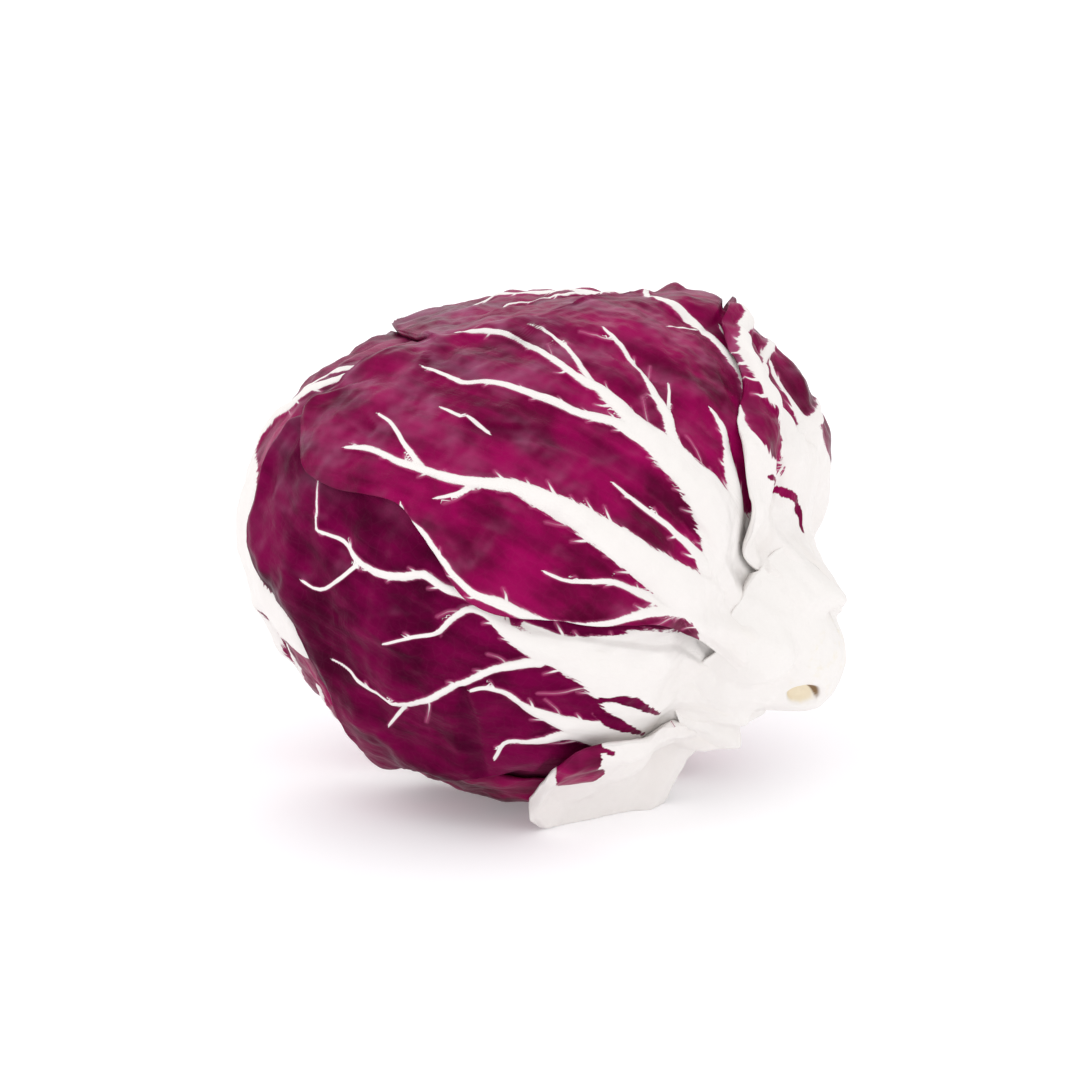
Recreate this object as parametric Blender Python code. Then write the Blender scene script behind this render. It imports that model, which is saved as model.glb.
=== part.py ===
"""Head of red radicchio: closed purple leaves with raised white ribs, lying on its side.

Every leaf is a thin shell wrapped round one centre.  A place on the head is a direction from
that centre, and the shells are stacked along it from the heart outwards, so that each leaf
drapes over the margins and ribs of the leaves below it and no two of them meet.
Lengths are in millimetres and angles in degrees until the meshes are made.
"""
import math
from dataclasses import dataclass, field

import bmesh
import bpy
import numpy as np
from mathutils import Vector
from mathutils.bvhtree import BVHTree

# Driving dimensions
MM = 0.001
CENTRE_X = -4.31
CENTRE_Y = 0.94
CENTRE_HEIGHT = 52.5
AXIS_TILT = 23.0
CROWN_REACH = 58.5
STEM_REACH = 54.0
UPPER_REACH = 48.5
LOWER_REACH = 53.5
FRONT_REACH = 56.0
BACK_REACH = 56.0
HEART_FLAT_HEIGHT = 48.2
NECK_POLAR = 29.0
NECK_SPREAD = 12.0
NECK_DEPTH = 8.0

# Swellings of the heart, as turn round the axis, angle from the stem, spread and height
SWELLINGS = [
    (0.0, 138.0, 34.0, -9.0),
    (150.0, 124.0, 17.0, -6.0),
    (332.0, 68.0, 18.0, 3.5),
    (345.0, 112.0, 16.0, -4.0),
    (150.0, 45.0, 16.0, -2.0),
    (328.0, 46.0, 25.0, 2.8),
]

# Leaves
BLADE_THICKNESS = 1.0
BASE_THICKENING = 0.8
BASE_REACH = 26.0
LAYER_GAP = 0.45
RIB_GAP = 0.5
DRAPE = 7.0
RIB_DRAPE = 4.5
LEAF_START = 13.0
MARGIN_WAVE = 1.1
RIGHT_WAVE_SHARE = 0.8
MARGIN_REACH = 12.0
RUFFLES_PER_WAVE = 1.7
FREE_START = 18.0
FREE_REACH = 24.0
BACK_OF_TIP = 305.0
THINNEST = 0.7
SETTLE_ROUNDS = 6
SETTLED = 0.01
FACET_SAMPLES = 7
FACET_GAP = 0.5
COLUMNS = 14
ROWS = 19
RIB_STEP = 6.5
RIB_SIDE = 0.45
RIB_ROUND = 0.6
RIB_TAPER = 1.6

# Stem, whose rings are (angle from the stub's middle, radius from the head's centre)
STUB_TURN = 262.0
STUB_POLAR = 5.5
STUB_RINGS = [(0.0, 67.2), (3.5, 67.2), (6.4, 67.0), (8.0, 66.0), (9.6, 63.0), (11.8, 58.8),
              (16.5, 56.0), (21.5, 54.0)]
STUB_SECTORS = 24
SKIRT_THICKNESS = 0.8
SKIRT_GAP = 0.9
HOLLOW_TURN = 103.0
HOLLOW_POLAR = 7.5
HOLLOW_RADIUS = 3.4
HOLLOW_RIM = 1.5
HOLLOW_DEPTH = 3.4

# Heart
HEART_COLUMNS = 24
HEART_ROWS = 14
HEART_FOLD = 0.7
HEART_FOLDS = 5
HEART_TWIST = 3.0

MEAN_RADIUS = 57.0
ROUGHNESS = 0.4
COLLECTION = "radicchio_head"
CUTTER_COLLECTION = "radicchio_head_cutters"

PURPLE = (0.20, 0.012, 0.075, 1.0)
WHITE = (0.86, 0.84, 0.74, 1.0)
CREAM = (0.82, 0.77, 0.62, 1.0)

CENTRE = np.array([CENTRE_X, CENTRE_Y, CENTRE_HEIGHT])
TILT = math.radians(AXIS_TILT)
TO_STEM = np.array([math.cos(TILT), 0.0, -math.sin(TILT)])
TO_TOP = np.array([math.sin(TILT), 0.0, math.cos(TILT)])
TO_FRONT = np.array([0.0, -1.0, 0.0])


@dataclass
class Strip:
    """One rib: its line as (along, across) points, with width and height at both ends."""

    line: list
    width: tuple
    height: tuple
    columns: int = 2


@dataclass
class Leaf:
    """One leaf, placed by the turn of its midrib round the head's axis."""

    name: str
    turn: float
    along: list
    left: list
    right: list
    ribs: list = field(default_factory=list)
    thickness: float = BLADE_THICKNESS
    flare: float = 0.8
    ruffle: float = 0.5
    waves: float = 9.0
    phase: float = 0.0
    hug: float = 1.0
    white: bool = False

    def axes(self):
        """Give the directions of the stem, of the midrib at the waist, and across the leaf."""
        turn = math.radians(self.turn)
        waist = math.cos(turn) * TO_TOP + math.sin(turn) * TO_FRONT
        return TO_STEM, waist, np.cross(TO_STEM, waist)

    def direction(self, along, across):
        """Give the unit directions at the given angles along and across the leaf."""
        stem, waist, side = self.axes()
        v = np.radians(np.asarray(along, float))[..., None]
        u = np.radians(np.asarray(across, float))[..., None]
        return np.cos(u) * (np.cos(v) * stem + np.sin(v) * waist) + np.sin(u) * side

    def angles(self, d):
        """Give the angles along and across the leaf of the directions d."""
        stem, waist, side = self.axes()
        across = np.degrees(np.arcsin(np.clip(d @ side, -1.0, 1.0)))
        along = np.degrees(np.arctan2(d @ waist, d @ stem))
        return np.where(along < self.along[-1] - BACK_OF_TIP, along + 360.0, along), across

    def margins(self, along):
        """Give the left and right margins' angles across the leaf at the given angles along."""
        wave = MARGIN_WAVE * np.sin(np.radians(along * self.waves + self.phase))
        left = smooth_table(along, self.along, self.left) + wave
        right = smooth_table(along, self.along, self.right) + RIGHT_WAVE_SHARE * wave
        return left, right

    def inside(self, d):
        """Give the distance in millimetres inside the leaf's margin, negative outside it."""
        along, across = self.angles(d)
        start, tip = self.along[0], self.along[-1]
        held = np.clip(along, start, tip)
        left, right = self.margins(held)
        sideways = np.minimum(across - left, right - across)
        ends = np.minimum(along - start, tip - along)
        angle = np.where(ends < 0.0, np.minimum(sideways, 0.0) + ends, sideways)
        return np.radians(angle) * MEAN_RADIUS

    def shell(self, d):
        """Give the blade's thickness at the directions d, thicker towards the stem."""
        base = smoothstep(1.0 - (from_stem(d) - LEAF_START) / BASE_REACH)
        return self.thickness + BASE_THICKENING * base

    def relief(self, d):
        """Give the height that the leaf's ribs add at the directions d, draped over softly."""
        along, across = self.angles(d)
        rise = np.zeros(along.shape)
        for strip in self.ribs:
            distance, width, height = strip_field(strip, along, across)
            cover = smoothstep(1.0 - (distance - width / 2.0) / RIB_DRAPE)
            rise = np.maximum(rise, (height + RIB_GAP) * cover)
        return rise

    def lift(self, d):
        """Give the free margin's flare and ruffle, which begin away from the stem."""
        along, across = self.angles(d)
        left, right = self.margins(np.clip(along, self.along[0], self.along[-1]))
        near = smoothstep(1.0 - self.inside(d) / MARGIN_REACH)
        near = near * (self.hug + (1.0 - self.hug) * smoothstep((across - left) / (right - left)))
        free = smoothstep((from_stem(d) - FREE_START) / FREE_REACH)
        turns = along * self.waves * RUFFLES_PER_WAVE + self.phase
        ruffle = self.ruffle * np.sin(np.radians(turns))
        return near * free * (self.flare + ruffle)


LEAVES = [
    Leaf("under_leaf", 180.0,
         [13, 30, 60, 90, 120, 145, 160, 176, 200, 217, 228],
         [-14, -26, -42, -48, -50, -50, -52, -54, -52, -46, -36],
         [14, 26, 42, 50, 46, 24, -2, -12, -22, -21, -22],
         [Strip([(25, 0), (60, 0), (80, -1), (105, -7), (125, -16), (145, -25), (158, -24),
                 (171, -18), (181, -18), (192, -25), (207, -29), (220, -31)],
                (23, 2.4), (4.5, 0.9), 3),
          Strip([(86, -2), (104, -20), (120, -36)], (4.0, 1.6), (1.2, 0.7)),
          Strip([(112, -9), (128, -26), (140, -40)], (3.2, 1.4), (1.1, 0.7)),
          Strip([(40, 3), (62, 20), (84, 38)], (4.0, 1.6), (1.2, 0.7)),
          Strip([(84, -1), (108, 16), (126, 32)], (3.2, 1.4), (1.1, 0.7))],
         flare=0.4, ruffle=0.2, phase=40.0),
    Leaf("back_leaf", 262.0,
         [13, 30, 60, 90, 120, 145, 160],
         [-14, -30, -46, -50, -44, -30, -12],
         [14, 30, 46, 50, 42, 26, 8],
         [Strip([(16, 0), (50, 1), (95, -1), (140, 2)], (21, 2.2), (2.2, 0.8), 3),
          Strip([(48, 1), (72, -20), (92, -38)], (4.0, 1.6), (1.2, 0.7)),
          Strip([(54, 1), (80, 22), (98, 38)], (4.0, 1.6), (1.2, 0.7)),
          Strip([(86, -1), (108, -18), (124, -30)], (3.0, 1.4), (1.0, 0.7)),
          Strip([(92, -1), (114, 14), (128, 26)], (3.0, 1.4), (1.0, 0.7))],
         phase=110.0),
    Leaf("top_leaf", -32.0,
         [13, 30, 60, 90, 120, 130, 140, 150, 156],
         [-14, -28, -44, -48, -42, -37, -31, -22, -14],
         [14, 28, 42, 45, 42, 34, 18, 4, -6],
         [Strip([(16, 0), (50, 0), (90, 2), (136, 4)], (20, 2.2), (2.0, 0.8), 3),
          Strip([(50, 0), (76, -20), (94, -36)], (3.6, 1.6), (1.1, 0.7)),
          Strip([(56, 0), (84, 20), (104, 34)], (3.6, 1.6), (1.1, 0.7)),
          Strip([(90, 2), (112, -14), (126, -26)], (3.0, 1.4), (1.0, 0.7)),
          Strip([(98, 2), (116, 13), (129, 19)], (3.0, 1.4), (1.0, 0.7))],
         flare=0.7, ruffle=0.6, waves=11.0, phase=200.0),
    Leaf("lower_leaf", 100.0,
         [13, 25, 40, 55, 70, 85, 99, 105, 110, 115, 120, 132, 138, 143, 147],
         [-16, -24, -30, -34, -36, -38, -38, -37, -37, -36, -35, -33, -31, -27, -18],
         [16, 18, 20, 22, 30, 38, 49, 42, 29, 21, 15, 13, 10, 3, -8],
         [Strip([(16, 0), (33, -2), (52, -4)], (20, 30), (2.0, 1.0), 4),
          Strip([(48, -5), (62, -8), (74, -10), (83, -10), (89, -3), (98, 5)], (9.0, 1.6), (1.8, 0.7)),
          Strip([(74, -10), (88, -15), (100, -9), (111, -6), (122, -6)], (3.2, 1.4), (1.1, 0.7)),
          Strip([(48, 0), (66, 5), (83, 8), (91, 16), (98, 19), (109, 18)], (5.0, 1.4),
                (1.4, 0.7)),
          Strip([(34, 4), (52, 13), (63, 16), (70, 21)], (5.0, 1.6), (1.4, 0.7))],
         flare=1.0, ruffle=0.4, phase=15.0),
    Leaf("front_leaf", 45.0,
         [13, 25, 35, 45, 56, 70, 85, 98, 104, 110, 118, 129, 137, 143],
         [-12, -16, -22, -40, -60, -70, -72, -70, -58, -34, -23, -10, 2, 10],
         [14, 17, 19, 22, 32, 39, 41, 37, 34, 31, 30, 30, 28, 22],
         [Strip([(16, 1), (32, 0), (50, -3)], (20, 34), (2.2, 1.0), 4),
          Strip([(32, 6), (44, 12), (58, 15), (70, 16), (89, 18), (101, 22), (114, 23),
                 (128, 22)], (11.0, 1.6), (2.2, 0.7)),
          Strip([(48, -1), (60, -6), (72, -8), (89, -11), (105, -13), (119, -11)], (8.0, 1.5),
                (1.9, 0.7)),
          Strip([(68, -7), (81, -5), (95, -2), (111, 2), (120, 2)], (3.4, 1.4), (1.2, 0.7)),
          Strip([(52, -5), (60, -11), (68, -16), (79, -23), (93, -30)], (4.6, 1.4), (1.3, 0.7)),
          Strip([(30, -4), (42, -19), (50, -41), (58, -50), (74, -58), (96, -65)], (5.0, 1.5),
                (1.4, 0.7)),
          Strip([(42, 14), (50, 22), (63, 33), (77, 36), (88, 36), (101, 32)], (3.0, 1.4),
                (1.0, 0.7))],
         flare=0.7, ruffle=0.4, phase=70.0),
    Leaf("foot_leaf", 139.0,
         [20, 25, 32, 40, 48, 54, 59, 63],
         [3, -1, -9, -17, -21, -20, -14, -5],
         [18, 21, 21.5, 20, 17, 13, 7, 1],
         thickness=2.6, flare=5.0, ruffle=0.3, waves=7.0, hug=0.4, white=True),
    Leaf("crest_leaf", -20.0,
         [13, 17, 25, 32, 40, 47, 57, 64, 70, 76, 81],
         [-14, -20, -26, -32, -38, -42, -46, -46, -44, -38, -28],
         [14, 22, 27, 30.5, 31, 29.5, 22.5, 18, 13, 7, -3],
         [Strip([(16, 6), (30, 13), (44, 18), (54, 17), (62, 13), (69, 8), (74, 2)], (18, 3.6),
                (2.4, 1.2), 3),
          Strip([(44, 15), (52, -8), (58, -26), (60, -38)], (4.0, 1.6), (1.2, 0.7)),
          Strip([(61, 12), (68, -6), (71, -24)], (3.2, 1.5), (1.1, 0.7))],
         flare=1.2, ruffle=0.8, waves=13.0, phase=160.0),
]


# Shared mathematics

def smoothstep(x):
    """Rise from 0 to 1 with no corner as x goes from 0 to 1."""
    x = np.clip(x, 0.0, 1.0)
    return x * x * (3.0 - 2.0 * x)


def smooth_table(x, stations, values):
    """Read a curve with no corners through the stations' values."""
    xs = np.asarray(stations, float)
    ys = np.asarray(values, float)
    slopes = np.gradient(ys, xs)
    x = np.clip(np.asarray(x, float), xs[0], xs[-1])
    i = np.clip(np.searchsorted(xs, x, side="right") - 1, 0, len(xs) - 2)
    step = xs[i + 1] - xs[i]
    t = (x - xs[i]) / step
    start = (1.0 + 2.0 * t) * (1.0 - t) ** 2 * ys[i] + t * (1.0 - t) ** 2 * step * slopes[i]
    end = t * t * (3.0 - 2.0 * t) * ys[i + 1] - t * t * (1.0 - t) * step * slopes[i + 1]
    return start + end


def strip_field(strip, along, across):
    """Give each place's distance from a rib's line, and the rib's width and height there."""
    best = np.full(along.shape, 1.0e6)
    width = np.zeros(along.shape)
    height = np.zeros(along.shape)
    points = np.asarray(strip.line, float)
    lengths = np.hypot(*np.diff(points, axis=0).T)
    reached = np.concatenate([[0.0], np.cumsum(lengths)]) / lengths.sum()
    scale = np.cos(np.radians(across))
    for k in range(len(lengths)):
        start, end = points[k], points[k + 1]
        dv, du = (end[0] - start[0]) * scale, end[1] - start[1]
        pv, pu = (along - start[0]) * scale, across - start[1]
        t = np.clip((pv * dv + pu * du) / (dv * dv + du * du), 0.0, 1.0)
        distance = np.radians(np.hypot(pv - t * dv, pu - t * du)) * MEAN_RADIUS
        nearer = distance < best
        part = reached[k] + (reached[k + 1] - reached[k]) * t
        best = np.where(nearer, distance, best)
        width = np.where(nearer, taper(strip.width, part), width)
        height = np.where(nearer, taper(strip.height, part), height)
    return best, width, height


def taper(ends, part):
    """Narrow from one end's value to the other's, fastest near the start."""
    return ends[1] + (ends[0] - ends[1]) * (1.0 - part) ** RIB_TAPER


def from_stem(d):
    """Give the directions' angles from the stem."""
    return np.degrees(np.arccos(np.clip(d @ TO_STEM, -1.0, 1.0)))


def head_direction(turn, polar):
    """Give the direction at a turn round the head's axis and an angle from the stem."""
    turn, polar = math.radians(turn), math.radians(polar)
    ring = math.cos(turn) * TO_TOP + math.sin(turn) * TO_FRONT
    return math.cos(polar) * TO_STEM + math.sin(polar) * ring


def apart(d, turn, polar):
    """Give the angles between the directions d and the direction at a turn and polar angle."""
    return np.degrees(np.arccos(np.clip(d @ head_direction(turn, polar), -1.0, 1.0)))


def heart_radius(d):
    """Give the heart's radius: six half-axes, a neck and swellings, flat underneath."""
    stem, top, front = d @ TO_STEM, d @ TO_TOP, d @ TO_FRONT
    total = (stem / np.where(stem > 0.0, STEM_REACH, CROWN_REACH)) ** 2
    total += (top / np.where(top > 0.0, UPPER_REACH, LOWER_REACH)) ** 2
    total += (front / np.where(front > 0.0, FRONT_REACH, BACK_REACH)) ** 2
    radius = 1.0 / np.sqrt(total)
    radius = radius - NECK_DEPTH * np.exp(-((from_stem(d) - NECK_POLAR) / NECK_SPREAD) ** 2)
    for turn, polar, spread, height in SWELLINGS:
        radius = radius + height * np.exp(-(apart(d, turn, polar) / spread) ** 2)
    floor = HEART_FLAT_HEIGHT / np.maximum(-d[..., 2], 0.01)
    return np.minimum(radius, floor)


def covered(order, d):
    """Give how far the directions d lie under the leaves above the given one, from 0 to 1."""
    bare = np.ones(d.shape[:-1])
    for leaf in LEAVES[order + 1:]:
        bare *= 1.0 - smoothstep(1.0 + leaf.inside(d) / DRAPE)
    return 1.0 - bare


def under_radius(order, d):
    """Give the inner radius of the leaf of the given order at the directions d."""
    radius = heart_radius(d) + LAYER_GAP
    for k in range(order):
        leaf = LEAVES[k]
        rise = leaf.shell(d) + LAYER_GAP + leaf.relief(d)
        rise = rise + leaf.lift(d) * (1.0 - covered(k, d))
        radius = radius + rise * smoothstep(1.0 + leaf.inside(d) / DRAPE)
    return radius


def blade_radius(order, d):
    """Give the inner radius of a leaf's blade, lifted where its margin is free."""
    lifted = under_radius(order, d) + LEAVES[order].lift(d) * (1.0 - covered(order, d))
    ground = CENTRE_HEIGHT / np.maximum(-d[..., 2], 0.01)
    return np.minimum(lifted, ground - LEAVES[order].thickness)


def outer_radius(d, inner, thickness):
    """Give the radius of an outer face, cut flat at the floor where enough is left."""
    ground = CENTRE_HEIGHT / np.maximum(-d[..., 2], 0.01)
    return np.maximum(np.minimum(inner + thickness, ground), inner + THINNEST)


# Meshes

def grid_solid(inner, outer):
    """Close two matching grids of points into one shell, as vertices and triangles."""
    rows, columns = inner.shape[:2]
    count = rows * columns
    index = np.arange(count).reshape(rows, columns)
    a, b = index[:-1, :-1].ravel(), index[1:, :-1].ravel()
    c, d = index[1:, 1:].ravel(), index[:-1, 1:].ravel()
    top = np.concatenate([np.stack([a, b, c], 1), np.stack([a, c, d], 1)]) + count
    bottom = np.concatenate([np.stack([a, c, b], 1), np.stack([a, d, c], 1)])
    ring = np.concatenate([index[0, :-1], index[:-1, -1], index[-1, :0:-1], index[:0:-1, 0]])
    after = np.roll(ring, -1)
    rim = np.concatenate([np.stack([ring, ring + count, after + count], 1),
                          np.stack([ring, after + count, after], 1)])
    points = np.concatenate([inner.reshape(-1, 3), outer.reshape(-1, 3)])
    return points, np.concatenate([top, bottom, rim])


def outward(points, triangles):
    """Turn the triangles over if together they enclose a negative volume."""
    p, q, r = (points[triangles[:, k]] for k in range(3))
    volume = np.einsum("ij,ij->i", p, np.cross(q, r)).sum()
    return triangles if volume > 0.0 else triangles[:, ::-1]


def make_object(name, points, triangles, colour, collection):
    """Make one named object with its own material from points in millimetres."""
    mesh = bpy.data.meshes.new(name)
    triangles = outward(points - points.mean(axis=0), triangles)
    mesh.from_pydata((points * MM).tolist(), [], triangles.tolist())
    mesh.validate()
    material = bpy.data.materials.new(name)
    material.use_nodes = True
    shader = material.node_tree.nodes["Principled BSDF"]
    shader.inputs["Base Color"].default_value = colour
    shader.inputs["Roughness"].default_value = ROUGHNESS
    mesh.materials.append(material)
    made = bpy.data.objects.new(name, mesh)
    collection.objects.link(made)
    return made


def surface_tree(objects):
    """Make one search tree over the faces of the objects, in millimetres."""
    corners, faces = [], []
    for item in objects:
        first = len(corners)
        corners += [vertex.co / MM for vertex in item.data.vertices]
        faces += [[first + k for k in face.vertices] for face in item.data.polygons]
    return BVHTree.FromPolygons(corners, faces)


def outermost(tree, directions):
    """Give the radius of the outermost face in each direction, or nothing as minus 1."""
    centre = Vector(CENTRE)
    radii = np.full(len(directions), -1.0)
    for index, d in enumerate(directions):
        ray = Vector(d)
        hit = tree.ray_cast(centre + ray * (2.0 * MEAN_RADIUS), -ray, 2.0 * MEAN_RADIUS)[0]
        if hit is not None:
            radii[index] = (hit - centre).length
    return radii


def settle(tree, d, radius, gap):
    """Raise a grid's radii until all of its facets clear the faces below it by the gap."""
    rows, columns = radius.shape
    index = np.arange(rows * columns).reshape(rows, columns)
    a, b = index[:-1, :-1].ravel(), index[1:, :-1].ravel()
    c, e = index[1:, 1:].ravel(), index[:-1, 1:].ravel()
    facets = np.concatenate([np.stack([a, b, c], 1), np.stack([a, c, e], 1)])
    steps = np.arange(FACET_SAMPLES + 1) / FACET_SAMPLES
    first, second = np.meshgrid(steps, steps, indexing="ij")
    keep = first + second <= 1.0 + 1.0e-9
    shares = np.stack([first[keep], second[keep], 1.0 - first[keep] - second[keep]], 1)
    unit = d.reshape(-1, 3)
    settled = radius.ravel().copy()
    for _ in range(SETTLE_ROUNDS):
        corners = (settled[:, None] * unit)[facets]
        places = np.einsum("sk,fkx->fsx", shares, corners)
        reach = np.linalg.norm(places, axis=-1)
        below = outermost(tree, (places / reach[..., None]).reshape(-1, 3)).reshape(reach.shape)
        short = np.where(below > 0.0, below + gap - reach, 0.0).max(axis=1)
        raised = np.zeros(settled.shape)
        for corner in range(3):
            np.maximum.at(raised, facets[:, corner], np.maximum(short, 0.0))
        settled += raised
        if raised.max() < SETTLED:
            break
    return settled.reshape(rows, columns)


def blade_grid(leaf):
    """Give the directions of a blade's grid, from the stem to the tip and across it."""
    start, tip = leaf.along[0], leaf.along[-1]
    along = np.linspace(start, tip, ROWS)
    left, right = leaf.margins(along)
    part = np.linspace(0.0, 1.0, COLUMNS)
    across = left[:, None] + (right - left)[:, None] * part
    return leaf.direction(np.broadcast_to(along[:, None], across.shape), across)


def build_blade(order, collection):
    """Build a leaf's blade, settled on everything below it."""
    leaf = LEAVES[order]
    d = blade_grid(leaf)
    tree = surface_tree(collection.objects)
    inner = settle(tree, d, blade_radius(order, d), FACET_GAP)
    outer = outer_radius(d, inner, leaf.shell(d))
    points, triangles = grid_solid(CENTRE + inner[..., None] * d, CENTRE + outer[..., None] * d)
    name = leaf.name if leaf.white else leaf.name + "_blade"
    return make_object(name, points, triangles, WHITE if leaf.white else PURPLE, collection)


def strip_grid(leaf, strip):
    """Give a rib's directions and heights on a grid along and across it."""
    points = np.asarray(strip.line, float)
    lengths = np.hypot(*np.diff(points, axis=0).T)
    reached = np.concatenate([[0.0], np.cumsum(lengths)])
    steps = max(3, int(round(math.radians(reached[-1]) * MEAN_RADIUS / RIB_STEP)))
    part = np.linspace(0.0, 1.0, steps + 1)
    along = smooth_table(part * reached[-1], reached, points[:, 0])
    across = smooth_table(part * reached[-1], reached, points[:, 1])
    scale = np.cos(np.radians(across))
    run, rise = np.gradient(along) * scale, np.gradient(across)
    size = np.hypot(run, rise)
    half = np.degrees(taper(strip.width, part) / 2.0 / MEAN_RADIUS)
    side = np.linspace(-1.0, 1.0, strip.columns * 2 - 1 if strip.columns > 2 else 3)
    shift = (half / size)[:, None] * side
    v = along[:, None] - rise[:, None] * shift / scale[:, None]
    u = across[:, None] + run[:, None] * shift
    crown = RIB_SIDE + (1.0 - RIB_SIDE) * (1.0 - side ** 2) ** RIB_ROUND
    height = taper(strip.height, part)[:, None] * crown
    return leaf.direction(v, u), height


def build_ribs(order, blade, collection, cutters):
    """Build a leaf's midrib and side ribs as one body lying just off its blade."""
    leaf = LEAVES[order]
    tree = surface_tree([blade])
    made = []
    for number, strip in enumerate(leaf.ribs):
        d, height = strip_grid(leaf, strip)
        inner = settle(tree, d, held_radius(tree, d) + FACET_GAP, FACET_GAP)
        outer = outer_radius(d, inner, height)
        points, triangles = grid_solid(CENTRE + inner[..., None] * d,
                                       CENTRE + outer[..., None] * d)
        home = collection if number == 0 else cutters
        name = f"{leaf.name}_ribs" if number == 0 else f"{leaf.name}_rib_{number}"
        made.append(make_object(name, points, triangles, WHITE, home))
    join(made[0], cutters)


def held_radius(tree, d):
    """Give the radius of a blade's outer face on a grid, held level beyond its margins."""
    radius = outermost(tree, d.reshape(-1, 3)).reshape(d.shape[:-1])
    places = np.arange(radius.shape[1])
    for row in radius:
        found = row > 0.0
        row[~found] = np.interp(places[~found], places[found], row[found])
    return radius


def join(target, cutters):
    """Union the collection's objects into the target, then remove them."""
    if not cutters.objects:
        return
    union = target.modifiers.new("join_ribs", "BOOLEAN")
    union.operation = "UNION"
    union.solver = "EXACT"
    union.operand_type = "COLLECTION"
    union.collection = cutters
    bpy.context.view_layer.update()
    shape = bpy.data.meshes.new_from_object(
        target.evaluated_get(bpy.context.evaluated_depsgraph_get()))
    target.modifiers.clear()
    material = target.data.materials[0]
    target.data = shape
    target.data.materials.clear()
    target.data.materials.append(material)
    for cutter in list(cutters.objects):
        bpy.data.objects.remove(cutter, do_unlink=True)


def build_heart(collection):
    """Build the dense inner leaves as one core with shallow folds running to the crown."""
    ball = bmesh.new()
    bmesh.ops.create_uvsphere(ball, u_segments=HEART_COLUMNS, v_segments=HEART_ROWS, radius=1.0)
    bmesh.ops.triangulate(ball, faces=ball.faces[:])
    local = np.array([vertex.co for vertex in ball.verts])
    triangles = np.array([[vertex.index for vertex in face.verts] for face in ball.faces])
    ball.free()
    local /= np.linalg.norm(local, axis=1, keepdims=True)
    d = local[:, :1] * TO_TOP + local[:, 1:2] * TO_FRONT + local[:, 2:] * TO_STEM
    turn = np.arctan2(local[:, 1], local[:, 0])
    polar = np.arccos(np.clip(local[:, 2], -1.0, 1.0))
    wave = 0.5 + 0.5 * np.sin(HEART_FOLDS * turn + HEART_TWIST * polar)
    fold = HEART_FOLD * wave * np.sin(polar)
    points = CENTRE + (heart_radius(d) - fold)[:, None] * d
    return make_object("heart", points, triangles, PURPLE, collection)


def build_stem(collection):
    """Build the stub and the fleshy collar that joins it to the leaf bases which it covers."""
    turns = np.linspace(0.0, 2.0 * math.pi, STUB_SECTORS + 1)
    polar, reach = np.array(STUB_RINGS).T
    p, t = np.meshgrid(np.radians(polar), turns, indexing="ij")
    middle = head_direction(STUB_TURN, STUB_POLAR)
    side = np.cross(middle, TO_TOP)
    side /= np.linalg.norm(side)
    ring = np.cos(t)[..., None] * np.cross(side, middle) + np.sin(t)[..., None] * side
    d = np.cos(p)[..., None] * middle + np.sin(p)[..., None] * ring
    tree = surface_tree(collection.objects)
    inner = settle(tree, d, under_radius(len(LEAVES), d), SKIRT_GAP)
    inner[0] = inner[0].max()
    inner[:, 0] = inner[:, -1] = np.maximum(inner[:, 0], inner[:, -1])
    aside = np.radians(apart(d, HOLLOW_TURN, HOLLOW_POLAR)) * reach[0]
    hollow = smoothstep(HOLLOW_RIM - aside / HOLLOW_RADIUS)
    outer = np.maximum(inner + SKIRT_THICKNESS, reach[:, None] - HOLLOW_DEPTH * hollow)
    return close_cap(d[:, :-1], inner[:, :-1], outer[:, :-1], collection)


def close_cap(d, inner, outer, collection):
    """Close a round cap whose first ring is a single point, between its two faces."""
    index = np.arange(inner.size).reshape(inner.shape)
    after = np.roll(index, -1, axis=1)
    a, b = index[1:-1].ravel(), index[2:].ravel()
    c, e = after[2:].ravel(), after[1:-1].ravel()
    pole = np.zeros(inner.shape[1], int)
    low = np.concatenate([np.stack([a, b, c], 1), np.stack([a, c, e], 1),
                          np.stack([pole, index[1], after[1]], 1)])
    edge, next_edge = index[-1], after[-1]
    wall = np.concatenate([np.stack([edge, edge + inner.size, next_edge + inner.size], 1),
                           np.stack([edge, next_edge + inner.size, next_edge], 1)])
    triangles = np.concatenate([low[:, ::-1], low + inner.size, wall[:, ::-1]])
    points = np.concatenate([(CENTRE + inner[..., None] * d).reshape(-1, 3),
                             (CENTRE + outer[..., None] * d).reshape(-1, 3)])
    used = np.unique(triangles)
    place = np.zeros(len(points), int)
    place[used] = np.arange(len(used))
    return make_object("stem", points[used], place[triangles], CREAM, collection)


def main():
    """Clear the scene and build the head."""
    for old in list(bpy.data.objects):
        bpy.data.objects.remove(old, do_unlink=True)
    collection = bpy.data.collections.new(COLLECTION)
    cutters = bpy.data.collections.new(CUTTER_COLLECTION)
    bpy.context.scene.collection.children.link(collection)
    bpy.context.scene.collection.children.link(cutters)
    cutters.hide_render = True
    build_heart(collection)
    for order, leaf in enumerate(LEAVES):
        blade = build_blade(order, collection)
        if leaf.ribs:
            build_ribs(order, blade, collection, cutters)
    build_stem(collection)


main()
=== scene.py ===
"""A head of red radicchio lying on its side: its looks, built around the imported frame.

Every leaf is a thin shell wrapped round one centre.  A place on the head is a direction from
that centre.  Each leaf measures directions by its own two angles: along its midrib, from the
stem over the crown, and across it.  The shells are stacked outwards in closed form, so each
leaf drapes over the margins and ribs of the leaves below it.  Lengths are in millimetres until
a mesh is made, and the angles in tables and fields are in degrees unless they are said to be in
radians.
"""
import logging
import math
from dataclasses import dataclass, field
from enum import Enum
from typing import Sequence

import bpy
import numpy as np
from mathutils import Matrix, Vector


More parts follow.
